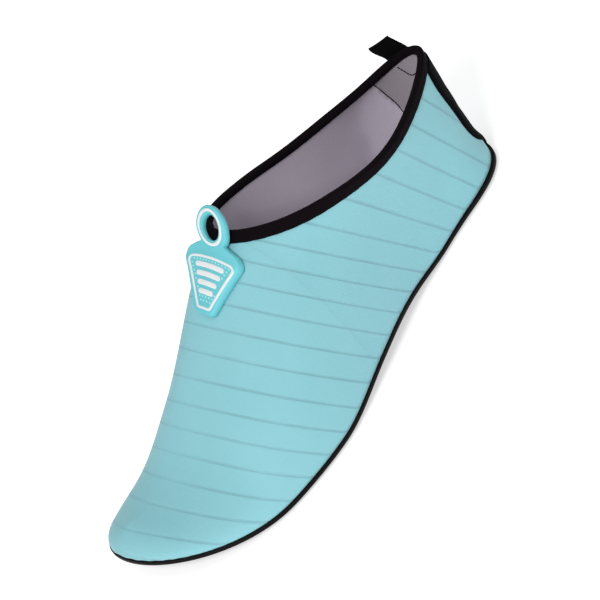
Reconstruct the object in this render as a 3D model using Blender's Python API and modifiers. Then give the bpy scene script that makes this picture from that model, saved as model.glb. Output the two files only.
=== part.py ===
"""A left water shoe, standing empty on its sole: a sock-like upper on a moulded rubber outsole.

Sizes are in millimetres in the shoe's own directions and become metres when a mesh is made. Along
runs from the back of the heel to the toe, across is positive on the outer side of the foot, and up
is the height above the floor. In the scene the toe points along -Y and the outer side is +X.
"""

import math
from collections import namedtuple

import bmesh
import bpy
import numpy as np
from mathutils import Vector
from mathutils.bvhtree import BVHTree
from mathutils.geometry import delaunay_2d_cdt

MM = 0.001
GAP = 0.3  # left between pieces that touch on the real shoe

# Outsole: outline, arch, toe spring and edge
LENGTH = 250.0
HEEL_ROUND, HEEL_SQUARENESS = 36.0, 2.3
TOE_ROUND, TOE_SQUARENESS = 60.0, 2.15
SoleRow = namedtuple("SoleRow", "along centre half_width")
SOLE_ROWS = (
    SoleRow(0, -5.5, 28.0),
    SoleRow(30, -8.5, 29.7),
    SoleRow(75, -0.8, 28.7),
    SoleRow(120, 10.7, 31.1),
    SoleRow(165, 12.2, 38.4),
    SoleRow(200, 7.5, 41.5),
    SoleRow(LENGTH, -3.0, 41.8),
)
ARCH_LIFT, ARCH_AT, ARCH_REACH = 5.0, 108.0, 52.0
TOE_SPRING, SPRING_FROM = 9.6, 197.0
SOLE_THICKNESS = 4.0
SOLE_EDGE = 1.8  # upright band at the top of the sole's side, above the bevel
BEVEL_WIDTH = 6.0

# Tread: hexagon lugs in a sunk field, round pads, a flex groove and a plain toe plate
TREAD_DEPTH = 1.2
RIM_WIDTH = 1.5
WAIST_STRIP, WAIST_STRIP_AT, WAIST_STRIP_REACH = 7.0, 106.0, 34.0
HEX_PITCH_ALONG, HEX_PITCH_ACROSS = 10.6, 9.6
HEX_GROOVE = 1.5
TRIM_REACH = 16.0  # how far from a lug's middle the sole's outline can cut it
PAD_MOAT = 1.4
PAD_SIDES = 20
RoundPad = namedtuple("RoundPad", "along across half_length half_width")
ROUND_PADS = (
    RoundPad(36.5, -11.5, 15.0, 15.0),
    RoundPad(64.0, 7.0, 9.0, 9.0),
    RoundPad(64.5, -12.5, 7.0, 7.0),
    RoundPad(83.0, -3.0, 7.5, 7.5),
    RoundPad(106.0, 2.0, 6.0, 6.0),
    RoundPad(128.0, 3.0, 6.5, 6.0),
    RoundPad(151.0, -1.5, 10.0, 8.5),
    RoundPad(178.5, -8.0, 14.0, 12.0),
    RoundPad(163.5, 27.5, 10.5, 10.5),
)
FLEX_AT, FLEX_SLANT, FLEX_BOW = 209.5, -0.22, -0.0065  # along = at + slant * across + bow * across²
FLEX_WIDTH, FLEX_STEPS = 3.0, 14
FLEX_BAR = 3.0  # plain bar between the lugs and the flex groove

# Upper: collar line, instep ridge and wall sections
UPPER_WALL = 1.8
UPPER_INSET, HEEL_INSET, HEEL_INSET_REACH = 0.6, 0.9, 60.0
THROAT = 126.0
HEEL_LEAN, HEEL_BLEND = 4.8, 40.0  # the back of the wall stands this far in front of the heel's edge
HEEL_LIP, LIP_POWER, LIP_REACH = 2.5, 1.7, 25.0  # the collar's back curves outwards again
RIDGE_END, TOE_BLEND = 238.0, 185.0
COLLAR_BACK_ROUND, COLLAR_FRONT_ROUND, COLLAR_SQUARENESS = 45.0, 47.0, 2.0
CollarRow = namedtuple("CollarRow", "along centre half_width height")
COLLAR_ROWS = (
    CollarRow(HEEL_LEAN, 2.0, 17.0, 64.6),
    CollarRow(30, 1.5, 20.8, 61.5),
    CollarRow(60, 1.5, 27.2, 63.1),
    CollarRow(95, 1.6, 28.8, 73.3),
    CollarRow(THROAT, -4.3, 31.9, 81.5),
)
RidgeRow = namedtuple("RidgeRow", "along across height")
RIDGE_ROWS = (
    RidgeRow(THROAT, -4.3, 81.5),
    RidgeRow(155, -4.5, 63.6),
    RidgeRow(186, -3.8, 42.8),
    RidgeRow(212, -3.6, 22.4),
    RidgeRow(224, -5.0, 19.5),
    RidgeRow(RIDGE_END, -7.5, 20.8),
)
ARCH_CROWN, ARCH_ROUNDNESS = 2.1, 1.9  # exponents of the arched section over the foot
INNER_SQUARER, INNER_SQUARER_UNTIL, INNER_SQUARER_FADE = 1.3, 130.0, 60.0
COLLAR_CUT = 0.75  # most of the arch's half width that the collar's opening takes
COLLAR_CUT_BACK = 60.0
INSTEP_SWELL, SWELL_AT, SWELL_REACH = 9.0, 112.0, 75.0  # the inner side overhangs the sole's waist
TUCK_POWER = 3.0
FLARE_FROM, FLARE_POWER, FLARE_REACH = 0.09, 8.0, 30.0  # the heel's hollow curve above the sole

# Insole
INSOLE_THICKNESS = 3.0
INSOLE_INSET, INSOLE_HEEL_INSET = 4.2, 4.0
INSOLE_TOE_INSET, INSOLE_TOE_FROM = 4.5, 195.0
INSOLE_GRID = 12.0

# Heel panel: half width round the heel at each level of the wall, 0 at the sole and 1 at the collar
PANEL_THICKNESS = 1.0
PanelRow = namedtuple("PanelRow", "along half_width")
PANEL_ROWS = (
    PanelRow(0.03, 13.0),
    PanelRow(0.11, 13.5),
    PanelRow(0.25, 13.0),
    PanelRow(0.50, 12.3),
    PanelRow(0.80, 14.0),
    PanelRow(1.00, 12.5),
)
PANEL_COLUMNS, PANEL_LEVELS = 18, 12
PANEL_FINER = 4
PANEL_LIFT = 0.45

# Collar binding: folded tape
BINDING_TAPE = 0.9
BINDING_OUTSIDE, BINDING_INSIDE = 4.6, 2.6
BINDING_ROUND = 0.7
BINDING_GAP = 0.7  # clear of the wall, whose facets the tape's straight legs span

# Heel tab: doubled webbing on the inner side of the collar's back
TAB_WIDTH = 10.0
TAB_GAP = 0.5  # clear of the binding, which curves behind the flat webbing
TAB_THICKNESS = 1.9
TAB_FROM_BACK = 9.8
TAB_DOWN, TAB_UP = 4.6, 9.9
TAB_LEAN, TAB_BEND_STEPS = math.radians(15), 5
TAB_SKEW = 3.2  # how far its tip is pulled forwards along the collar

# Instep tag: a pull ring and a shield in one moulding, laid out from the ring's centre
TAG_RING_ALONG, TAG_RING_ACROSS = 125.2, -2.8
TAG_LEAN = 0.14  # its middle line runs this far outwards for each step ahead of the ring
TAG_RING_RADIUS, TAG_HOLE_RADIUS = 8.9, 5.1
TAG_NECK_WIDTH = 13.5
TAG_SHIELD_START, TAG_SHIELD_LENGTH, TAG_SHIELD_ASIDE = 7.0, 28.6, -0.6
TAG_SHOULDER_WIDTH, TAG_TIP_WIDTH = 31.4, 13.4
TAG_SHOULDER_ROUND, TAG_TIP_ROUND = 4.2, 4.0
TAG_THICKNESS = 3.1
TAG_LIFT = 0.7
TAG_FLATTEN_INNER, TAG_FLATTEN_OUTER = 0.8, 0.32  # share of the instep's curve that its face leaves out
TAG_BEND, TAG_BEND_FROM, TAG_BEND_EASE = 0.39, 10.5, 3.0  # the ring stands up off the collar
TAG_GRID = 4.0
TAG_RING_STEPS, TAG_CORNER_STEPS, TAG_SIDE_STEPS = 14, 6, 9

# Mesh density
BACK_STATIONS, FRONT_STATIONS = 20, 20
WALL_LEVELS = 10
SHARP_ANGLE = math.radians(40)

Finish = namedtuple("Finish", "name colour roughness")
BLACK_RUBBER = Finish("black_rubber", (0.012, 0.012, 0.013), 0.55)
AQUA_FABRIC = Finish("aqua_fabric", (0.27, 0.61, 0.66), 0.85)
GREY_FOAM = Finish("grey_foam", (0.26, 0.24, 0.27), 0.9)
BLACK_NEOPRENE = Finish("black_neoprene", (0.008, 0.008, 0.009), 0.8)
BLACK_TAPE = Finish("black_tape", (0.012, 0.011, 0.013), 0.75)
BLACK_WEBBING = Finish("black_webbing", (0.012, 0.011, 0.013), 0.8)
AQUA_PLASTIC = Finish("aqua_plastic", (0.16, 0.56, 0.63), 0.45)


def through(rows, column, along):
    """A smooth curve through one column of a table, read at places along it."""
    stations = np.array([row.along for row in rows], float)
    values = np.array([getattr(row, column) for row in rows], float)
    slopes = np.gradient(values, stations)
    along = np.clip(along, stations[0], stations[-1])
    left = np.clip(np.searchsorted(stations, along) - 1, 0, len(rows) - 2)
    span = stations[left + 1] - stations[left]
    part = (along - stations[left]) / span
    return (
        values[left] * (1 + 2 * part) * (1 - part) ** 2
        + slopes[left] * span * part * (1 - part) ** 2
        + values[left + 1] * part**2 * (3 - 2 * part)
        - slopes[left + 1] * span * part**2 * (1 - part)
    )


def ease(part):
    part = np.clip(part, 0, 1)
    return part * part * (3 - 2 * part)


def rounded_end(distance, length, squareness):
    """Grows from 0 at an end to 1 at the given length from it, as a rounded nose does."""
    back = np.clip((length - distance) / length, 0, 1)
    return (1 - back**squareness) ** (1 / squareness)


def sole_rise(along):
    """Height of the tread above the floor: the arch in the waist and the spring at the toe."""
    arch = np.clip(1 - ((along - ARCH_AT) / ARCH_REACH) ** 2, 0, 1) ** 2
    spring = np.clip((along - SPRING_FROM) / (LENGTH - SPRING_FROM), 0, 1) ** 2
    return ARCH_LIFT * arch + TOE_SPRING * spring


def sole_edge(along, side):
    ends = rounded_end(along, HEEL_ROUND, HEEL_SQUARENESS)
    ends = ends * rounded_end(LENGTH - along, TOE_ROUND, TOE_SQUARENESS)
    return through(SOLE_ROWS, "centre", along) + side * ends * through(SOLE_ROWS, "half_width", along)


def make_stations(finer=1):
    """Places along the shoe, closest together at the heel, the throat and the toe."""
    back = (1 - np.cos(np.linspace(0, math.pi, BACK_STATIONS * finer + 1))) / 2
    front = (1 - np.cos(np.linspace(0, math.pi, FRONT_STATIONS * finer + 1))) / 2
    return np.concatenate([THROAT * back, THROAT + (LENGTH - THROAT) * front[1:]])


def round_the_shoe(stations):
    """Station and side of each point of a loop: heel to toe outside, then back inside."""
    along = np.concatenate([stations, stations[-2:0:-1]])
    side = np.concatenate([np.ones(len(stations)), -np.ones(len(stations) - 2)])
    return along, side


def sole_outline(stations, inset):
    along, side = round_the_shoe(stations)
    loop = np.stack([along, sole_edge(along, side)], axis=1)
    step = np.roll(loop, -1, axis=0) - np.roll(loop, 1, axis=0)
    inward = np.stack([step[:, 1], -step[:, 0]], axis=1)
    inward /= np.linalg.norm(inward, axis=1, keepdims=True)
    return loop + inward * np.broadcast_to(inset, len(loop))[:, None]


def reach_of(along):
    """Where the top of the section that starts at this place on the sole lies along the shoe."""
    lean = HEEL_LEAN * np.clip(1 - along / HEEL_BLEND, 0, 1) ** 2
    toe = np.clip((along - TOE_BLEND) / (LENGTH - TOE_BLEND), 0, 1) ** 2
    return along + lean - (LENGTH - RIDGE_END) * toe


def top_line(along, side):
    """The collar's edge as far as the throat, then the ridge of the instep to the toes."""
    reach = reach_of(along)
    half = through(COLLAR_ROWS, "half_width", reach)
    half = half * rounded_end(reach - HEEL_LEAN, COLLAR_BACK_ROUND, COLLAR_SQUARENESS)
    half = half * rounded_end(THROAT - reach, COLLAR_FRONT_ROUND, COLLAR_SQUARENESS)
    collar = through(COLLAR_ROWS, "centre", reach) + side * half
    front = reach >= THROAT
    across = np.where(front, through(RIDGE_ROWS, "across", reach), collar)
    ridge = through(RIDGE_ROWS, "height", reach)
    height = np.where(front, ridge, through(COLLAR_ROWS, "height", reach))
    return np.stack([reach, across, height], axis=1)


def swell(along, side):
    """How far the inner wall bulges past the sole's edge in the waist."""
    bump = np.clip(1 - ((along - SWELL_AT) / SWELL_REACH) ** 2, 0, 1) ** 2
    return np.where(side < 0, -INSTEP_SWELL * bump, 0)


def arch_roundness(along, side):
    """The inner side of the instep is squarer than the outer, and alike over the toes."""
    squarer = INNER_SQUARER * (1 - ease((along - INNER_SQUARER_UNTIL) / INNER_SQUARER_FADE))
    return ARCH_ROUNDNESS + np.where(side < 0, squarer, 0)


def arch_share(level, roundness):
    return (1 - level**ARCH_CROWN) ** (1 / roundness)


def arch_level(share, roundness):
    return (1 - share**roundness) ** (1 / ARCH_CROWN)


def collar_cut(along, across, girth):
    """Share of the arch that the opening cuts away: none ahead of the throat, most at the heel."""
    reach = reach_of(along)
    middle = through(COLLAR_ROWS, "centre", reach)
    beside = (reach >= COLLAR_CUT_BACK) & (reach < THROAT)
    share = (across - middle) / np.where(beside, girth - middle, LENGTH)
    return np.where(reach < COLLAR_CUT_BACK, COLLAR_CUT, np.where(beside, np.clip(share, 0, COLLAR_CUT), 0))


def section_shape(along, side, cut, levels):
    """Share of the way from the top line out to the foot's girth, for each station and level."""
    cut = cut[:, None]
    roundness = arch_roundness(along, side)[:, None]
    full = (arch_share(levels * arch_level(cut, roundness), roundness) - cut) / (1 - cut)
    climb = np.clip((levels - FLARE_FROM) / (1 - FLARE_FROM), 0, 1)
    hollow = (1 - climb) ** FLARE_POWER
    heel = ease(1 - along / FLARE_REACH)[:, None]
    return full + (hollow - full) * heel


def seat_height(along):
    return sole_rise(along) + SOLE_THICKNESS + GAP


def upper_wall(stations, levels):
    """Outer face of the upper: an array of points, by place round the shoe and by level."""
    along, side = round_the_shoe(stations)
    inset = UPPER_INSET + HEEL_INSET * ease(1 - along / HEEL_INSET_REACH)
    foot = sole_outline(stations, inset)
    top = top_line(along, side)
    bulge = swell(along, side)
    cut = collar_cut(along, top[:, 1], foot[:, 1] + bulge)
    shape = section_shape(along, side, cut, levels)
    plan = top[:, None, :2] + (foot - top[:, :2])[:, None, :] * shape[..., None]
    plan[..., 1] += bulge[:, None] * (shape - (1 - levels) ** TUCK_POWER)
    plan[..., 0] -= HEEL_LIP * ease(1 - along / LIP_REACH)[:, None] * levels**LIP_POWER
    base = seat_height(along)
    height = base[:, None] + (top[:, 2] - base)[:, None] * levels
    return np.concatenate([plan, height[..., None]], axis=2)


def scene_points(points):
    """Millimetres along, across and up, as metres in the scene."""
    points = np.asarray(points, float)
    outer = sole_outline(STATIONS, 0)[:, 1]
    middle = (outer.max() + outer.min()) / 2
    return np.stack([points[:, 1] - middle, LENGTH / 2 - points[:, 0], points[:, 2]], axis=1) * MM


def make_material(finish):
    material = bpy.data.materials.get(finish.name) or bpy.data.materials.new(finish.name)
    material.use_nodes = True
    shader = material.node_tree.nodes["Principled BSDF"]
    shader.inputs["Base Color"].default_value = (*finish.colour, 1)
    shader.inputs["Roughness"].default_value = finish.roughness
    return material


def make_object(name, points, faces, finish):
    """A mesh object from points in the shoe's directions, parented to the shoe's empty."""
    mesh = bpy.data.meshes.new(name)
    mesh.from_pydata(scene_points(points).tolist(), [], faces)
    model = bmesh.new()
    model.from_mesh(mesh)
    bmesh.ops.recalc_face_normals(model, faces=model.faces)
    model.to_mesh(mesh)
    model.free()
    mesh.shade_smooth()
    mesh.set_sharp_from_angle(angle=SHARP_ANGLE)
    mesh.materials.append(make_material(finish))
    part = bpy.data.objects.new(name, mesh)
    part.parent = SHOE
    PARTS.objects.link(part)
    return part


def add_solidify(part, thickness, offset):
    shell = part.modifiers.new("wall", "SOLIDIFY")
    shell.thickness = thickness * MM
    shell.offset = offset
    shell.use_even_offset = True
    shell.use_quality_normals = True


def turns_left(loop):
    here, there = np.array(loop), np.roll(loop, -1, axis=0)
    return np.sum(here[:, 0] * there[:, 1] - here[:, 1] * there[:, 0]) > 0


def triangulate(loops, extra=()):
    """Plane triangles for a set of overlapping closed loops, with the loops that hold each triangle."""
    loops = [loop if turns_left(loop) else loop[::-1] for loop in loops]
    corners = [Vector(point) for loop in loops for point in loop]
    starts = np.cumsum([0] + [len(loop) for loop in loops])
    rings = [list(range(starts[i], starts[i + 1])) for i in range(len(loops))]
    corners += [Vector(point) for point in extra]
    points, _, triangles, _, _, holders = delaunay_2d_cdt(corners, [], rings, 1, 1e-5, True)
    kept = [i for i, held in enumerate(holders) if held]
    return np.array(points), [triangles[i] for i in kept], [holders[i] for i in kept]


def only_used(points, faces):
    """The points that some face has, and the faces renumbered to them."""
    used = sorted({corner for face in faces for corner in face})
    number = {corner: i for i, corner in enumerate(used)}
    return points[used], [tuple(number[corner] for corner in face) for face in faces]


def border_edges(triangles):
    """Directed edges that only one triangle has."""
    edges = {(tri[i], tri[(i + 1) % 3]) for tri in triangles for i in range(3)}
    return [(a, b) for a, b in edges if (b, a) not in edges]


def grid_inside(loop, spacing):
    """Points of a square grid over the box of a loop."""
    low, high = np.min(loop, axis=0), np.max(loop, axis=0)
    rows = np.arange(low[0] + spacing / 2, high[0], spacing)
    columns = np.arange(low[1] + spacing / 2, high[1], spacing)
    return [(row, column) for row in rows for column in columns]


def slab(plan, triangles, lower, upper):
    """Points and faces of a plate whose two sides share one plan."""
    count = len(plan)
    faces = [tuple(tri) for tri in triangles]
    faces += [tuple(count + corner for corner in reversed(tri)) for tri in triangles]
    faces += [(b, a, count + a, count + b) for a, b in border_edges(triangles)]
    return np.concatenate([lower, upper]), faces


def hexagons():
    """Lug outlines in staggered columns over the whole sole, pointing across it."""
    reach_along = (HEX_PITCH_ALONG - HEX_GROOVE) / 2
    reach_across = (HEX_PITCH_ACROSS * 4 / 3 - HEX_GROOVE * 2 / math.sqrt(3)) / 2
    corners = [(0, 1), (1, 0.5), (1, -0.5), (0, -1), (-1, -0.5), (-1, 0.5)]
    edge = sole_outline(STATIONS, 0)[:, 1]
    first, last = int(edge.min() / HEX_PITCH_ACROSS), int(edge.max() / HEX_PITCH_ACROSS)
    for column in range(first, last + 1):
        shift = HEX_PITCH_ALONG / 2 * (column % 2)
        for row in range(int(LENGTH / HEX_PITCH_ALONG) + 1):
            along = row * HEX_PITCH_ALONG + shift
            across = column * HEX_PITCH_ACROSS
            yield [(along + reach_along * a, across + reach_across * b) for a, b in corners]


def ellipse(pad, grow):
    turns = np.linspace(0, 2 * math.pi, PAD_SIDES, endpoint=False)
    along = pad.along + (pad.half_length + grow) * np.cos(turns)
    across = pad.across + (pad.half_width + grow) * np.sin(turns)
    return list(zip(along, across))


def flex_line(across, shift):
    return FLEX_AT + FLEX_SLANT * across + FLEX_BOW * across**2 + shift


def behind_flex(loop, shift):
    """The part of a loop behind a line parallel to the flex groove, closed along that line."""
    ahead = loop[:, 0] > flex_line(loop[:, 1], shift)
    cut = np.flatnonzero(ahead)
    last, first = loop[cut[0] - 1], loop[(cut[-1] + 1) % len(loop)]
    across = np.linspace(last[1], first[1], FLEX_STEPS)[1:-1]
    front = np.stack([flex_line(across, shift), across], axis=1)
    kept = np.concatenate([loop[: cut[0]], front, loop[cut[-1] + 1 :]])
    return [tuple(point) for point in kept]


def flex_groove(loop):
    """Outline of the flex groove, from one rim to the other."""
    behind = loop[:, 0] < flex_line(loop[:, 1], 0)
    turn = np.flatnonzero(~behind)
    across = np.linspace(loop[turn[-1] + 1, 1], loop[turn[0] - 1, 1], FLEX_STEPS)
    back = list(zip(flex_line(across, -FLEX_WIDTH / 2), across))
    front = list(zip(flex_line(across, FLEX_WIDTH / 2), across))
    return back + front[::-1]


def trimmed(lug, loop):
    """A lug's outline cut back to the sole's outline, which bends little over the width of a lug."""
    middle = np.mean(lug, axis=0)
    for start, end in zip(loop, np.roll(loop, -1, axis=0)):
        if math.hypot(*(start - middle)) > TRIM_REACH:
            continue
        inward = np.array([end[1] - start[1], start[0] - end[0]])
        depth = [float(np.dot(np.array(corner) - start, inward)) for corner in lug]
        kept = []
        for i, corner in enumerate(lug):
            j = (i + 1) % len(lug)
            if depth[i] >= 0:
                kept.append(corner)
            if depth[i] * depth[j] < 0:
                part = depth[i] / (depth[i] - depth[j])
                kept.append(tuple(a + (b - a) * part for a, b in zip(corner, lug[j])))
        lug = kept
    return lug


def fitted_lugs(loop):
    """The hexagons whose middle is on no round pad, trimmed to the loop."""
    for lug in hexagons():
        middle = np.mean(lug, axis=0)
        apart = [
            math.hypot((middle[0] - pad.along) / pad.half_length, (middle[1] - pad.across) / pad.half_width)
            for pad in ROUND_PADS
        ]
        on_sole = sole_edge(middle[0], -1) < middle[1] < sole_edge(middle[0], 1)
        lug = trimmed(lug, loop)
        if on_sole and min(apart) > 1 and len(lug) > 2:
            yield lug


def build_outsole():
    along, side = round_the_shoe(STATIONS)
    edge = sole_outline(STATIONS, 0)
    tread_edge = sole_outline(STATIONS, BEVEL_WIDTH)
    strip = np.clip(1 - ((along - WAIST_STRIP_AT) / WAIST_STRIP_REACH) ** 2, 0, 1)
    rim = RIM_WIDTH + WAIST_STRIP * strip * (side < 0)
    field_edge = sole_outline(STATIONS, BEVEL_WIDTH + rim)
    field = behind_flex(field_edge, -FLEX_WIDTH / 2 - FLEX_BAR)
    lugs = list(fitted_lugs(sole_outline(STATIONS, BEVEL_WIDTH + RIM_WIDTH / 2)))
    moats = [ellipse(pad, PAD_MOAT) for pad in ROUND_PADS]
    discs = [ellipse(pad, 0) for pad in ROUND_PADS]
    loops = [[tuple(point) for point in tread_edge], field, flex_groove(field_edge)]
    loops += lugs + moats + discs
    kinds = ["tread", "field", "flex"] + ["lug"] * len(lugs) + ["moat"] * len(moats) + ["disc"] * len(discs)
    plan, triangles, holders = triangulate(loops)
    points, faces, known = [], [], {}

    def corner(index, sunk):
        """One point of the tread, on the lugs' faces or on the floor between them."""
        if (index, sunk) not in known:
            known[index, sunk] = len(points)
            place = plan[index]
            points.append((*place, sole_rise(place[0]) + TREAD_DEPTH * sunk))
        return known[index, sunk]

    owner = {}
    for triangle, held in zip(triangles, holders):
        inside = {kinds[loop] for loop in held}
        if "tread" not in inside:
            continue
        sunk = "flex" in inside or "moat" in inside or ("field" in inside and "lug" not in inside)
        sunk = sunk and "disc" not in inside
        faces.append(tuple(corner(index, sunk) for index in triangle))
        for i in range(3):
            owner[triangle[i], triangle[(i + 1) % 3]] = sunk
    for (a, b), sunk in owner.items():
        if sunk and owner.get((b, a)) is False:
            faces.append((corner(a, True), corner(a, False), corner(b, False), corner(b, True)))
    border = {a: b for a, b in owner if (b, a) not in owner}
    first = next(iter(border))
    ring = [first]
    while border[ring[-1]] != first:
        ring.append(border[ring[-1]])
    order = [int(np.argmin(np.hypot(*(tread_edge - plan[index]).T))) for index in ring]
    lower = [corner(index, False) for index in ring]
    for height in (SOLE_THICKNESS - SOLE_EDGE, SOLE_THICKNESS):
        upper = list(range(len(points), len(points) + len(ring)))
        points += [(*edge[i], sole_rise(edge[i, 0]) + height) for i in order]
        for i in range(len(ring)):
            j = (i + 1) % len(ring)
            faces.append((lower[i], lower[j], upper[j], upper[i]))
        lower = upper
    top = dict(zip(order, lower))
    last = len(STATIONS) - 1
    for i in range(last):
        across = [top[i], top[i + 1], top[(-i - 1) % len(edge)], top[-i % len(edge)]]
        faces.append(tuple(dict.fromkeys(across)))
    make_object("outsole", points, faces, BLACK_RUBBER)


def build_insole():
    along, _ = round_the_shoe(STATIONS)
    heel = INSOLE_HEEL_INSET * ease(1 - along / HEEL_INSET_REACH)
    toe = INSOLE_TOE_INSET * ease((along - INSOLE_TOE_FROM) / (LENGTH - INSOLE_TOE_FROM))
    loop = sole_outline(STATIONS, INSOLE_INSET + heel + toe)
    plan, triangles, _ = triangulate([[tuple(point) for point in loop]], grid_inside(loop, INSOLE_GRID))
    plan, triangles = only_used(plan, triangles)
    base = seat_height(plan[:, 0])
    lower = np.column_stack([plan, base])
    upper = np.column_stack([plan, base + INSOLE_THICKNESS])
    make_object("insole", *slab(plan, triangles, lower, upper), GREY_FOAM)


def upper_faces(columns, levels):
    """Quads of the upper's face; past the throat both halves share the ridge's points."""
    count = 2 * (columns - 1)

    def number(column, level):
        column %= count
        if level == levels - 1 and column >= columns and count - column >= BACK_STATIONS:
            column = count - column
        return column * levels + level

    for column in range(count):
        for level in range(levels - 1):
            corners = [
                number(column, level + 1),
                number(column + 1, level + 1),
                number(column + 1, level),
                number(column, level),
            ]
            yield tuple(dict.fromkeys(corners))


def build_upper():
    rise = np.sin(np.linspace(0, math.pi / 2, WALL_LEVELS))
    levels = np.concatenate([rise[:1], [FLARE_FROM], rise[1:]])
    wall = upper_wall(STATIONS, levels)
    faces = list(upper_faces(len(STATIONS), len(levels)))
    points, faces = only_used(wall.reshape(-1, 3), faces)
    upper = make_object("upper", points, faces, AQUA_FABRIC)
    add_solidify(upper, UPPER_WALL, -1)
    columns = list(range(BACK_STATIONS + 1)) + list(range(len(wall) - BACK_STATIONS + 1, len(wall)))
    surface = BVHTree.FromPolygons(points.tolist(), faces)
    return wall[columns, -1], surface


def collar_frames(edge, wall):
    """For each point of the collar: its place, and unit steps outward and down the wall."""
    edge = np.stack([edge, (edge + np.roll(edge, -1, axis=0)) / 2], axis=1).reshape(-1, 3)
    outward = np.array([wall.find_nearest(point)[1] for point in edge.tolist()])
    ahead = np.roll(edge, -1, axis=0) - np.roll(edge, 1, axis=0)
    ahead /= np.linalg.norm(ahead, axis=1, keepdims=True)
    down = np.cross(outward, ahead)
    down /= np.linalg.norm(down, axis=1, keepdims=True)
    below = np.array([wall.find_nearest(point)[0] for point in (edge + BINDING_OUTSIDE * down).tolist()])
    outward = np.cross(ahead, below - edge)
    outward /= np.linalg.norm(outward, axis=1, keepdims=True)
    return edge, outward, np.cross(outward, ahead)


def build_binding(frames):
    """Tape with a U section, swept round the collar's edge."""
    outer = BINDING_GAP + BINDING_TAPE
    inner = -UPPER_WALL - BINDING_GAP - BINDING_TAPE
    crest = -GAP - BINDING_TAPE
    section = (
        (outer, BINDING_OUTSIDE),
        (outer, crest + BINDING_ROUND),
        (outer - BINDING_ROUND, crest),
        (inner + BINDING_ROUND, crest),
        (inner, crest + BINDING_ROUND),
        (inner, BINDING_INSIDE),
        (inner + BINDING_TAPE, BINDING_INSIDE),
        (inner + BINDING_TAPE, -GAP),
        (BINDING_GAP, -GAP),
        (BINDING_GAP, BINDING_OUTSIDE),
    )
    edge, outward, down = frames
    points = [edge[i] + out * outward[i] + low * down[i] for i in range(len(edge)) for out, low in section]
    sides, total = len(section), len(points)
    faces = [
        (
            i * sides + j,
            i * sides + (j + 1) % sides,
            ((i + 1) * sides + (j + 1) % sides) % total,
            ((i + 1) * sides + j) % total,
        )
        for i in range(len(edge))
        for j in range(sides)
    ]
    make_object("collar_binding", points, faces, BLACK_TAPE)


def build_heel_panel(wall):
    """Overlay cut from the upper's own wall round the heel, lifted clear and thickened outward."""
    tall = COLLAR_ROWS[0].height - seat_height(0.0)
    top = 1 - (BINDING_OUTSIDE + 2 * GAP) / tall
    levels = np.concatenate([[PANEL_ROWS[0].along], np.linspace(FLARE_FROM, top, PANEL_LEVELS - 1)])
    round_heel = upper_wall(make_stations(PANEL_FINER), levels)
    reach = len(round_heel) // 4
    strip = np.concatenate([round_heel[-reach:], round_heel[: reach + 1]])
    points = []
    for row, level in enumerate(levels):
        line = strip[:, row]
        run = np.concatenate([[0], np.cumsum(np.linalg.norm(np.diff(line, axis=0), axis=1))])
        half = through(PANEL_ROWS, "half_width", level)
        places = run[reach] + half * np.linspace(-1, 1, PANEL_COLUMNS + 1)
        points += list(np.stack([np.interp(places, run, line[:, axis]) for axis in range(3)], axis=1))
    points = [wall.find_nearest(Vector(point))[0] for point in points]
    width = PANEL_COLUMNS + 1
    faces = [
        (row * width + i, row * width + i + 1, (row + 1) * width + i + 1, (row + 1) * width + i)
        for row in range(PANEL_LEVELS - 1)
        for i in range(PANEL_COLUMNS)
    ]
    panel = make_object("heel_panel", points, faces, BLACK_NEOPRENE)
    lift = panel.modifiers.new("lift", "DISPLACE")
    lift.strength = PANEL_LIFT * MM
    lift.mid_level = 0
    add_solidify(panel, PANEL_THICKNESS, 1)


def build_heel_tab(frames):
    """Doubled webbing pressed flat: it stands up outside the binding, leans in and is pulled forwards."""
    edge, outward, down = frames
    run = np.cumsum(np.linalg.norm(np.diff(edge[::-1], axis=0, prepend=edge[:1]), axis=1))
    spot = len(edge) - 1 - int(np.argmin(np.abs(run - TAB_FROM_BACK)))
    foot = BINDING_GAP + BINDING_TAPE + TAB_GAP + TAB_THICKNESS / 2
    bend = GAP + BINDING_TAPE
    turns = np.linspace(0, TAB_LEAN, TAB_BEND_STEPS)
    radius = TAB_UP / 2
    path = [(foot, -TAB_DOWN)]
    path += [(foot - radius * (1 - math.cos(a)), bend + radius * math.sin(a)) for a in turns]
    rest = TAB_UP - bend - radius * math.sin(TAB_LEAN)
    path.append((path[-1][0] - rest * math.tan(TAB_LEAN), TAB_UP))
    path = np.array(path)
    step = np.gradient(path, axis=0)
    across = np.stack([-step[:, 1], step[:, 0]], axis=1) / np.linalg.norm(step, axis=1, keepdims=True)
    half = TAB_THICKNESS / 2
    inner, outer = path + half * across, path - half * across
    forward = np.cross(outward[spot], down[spot])
    points = []
    for side in (-1, 1):
        for out, up in np.concatenate([inner, outer]):
            aside = side * TAB_WIDTH / 2 + TAB_SKEW * (up + TAB_DOWN) / (TAB_UP + TAB_DOWN)
            points.append(edge[spot] + out * outward[spot] - up * down[spot] + aside * forward)
    count = len(path)
    ring = [*range(count), *range(2 * count - 1, count - 1, -1)]
    faces = [(ring[i - 1], ring[i], ring[i] + 2 * count, ring[i - 1] + 2 * count) for i in range(len(ring))]
    for start in (0, 2 * count):
        for i in range(start, start + count - 1):
            faces.append((i, i + 1, i + count + 1, i + count))
    make_object("heel_tab", points, faces, BLACK_WEBBING)


def arc(centre, radius, start, end, steps):
    turns = np.radians(np.linspace(start, end, steps))
    return [(centre[0] + radius * math.cos(a), centre[1] + radius * math.sin(a)) for a in turns]


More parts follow.
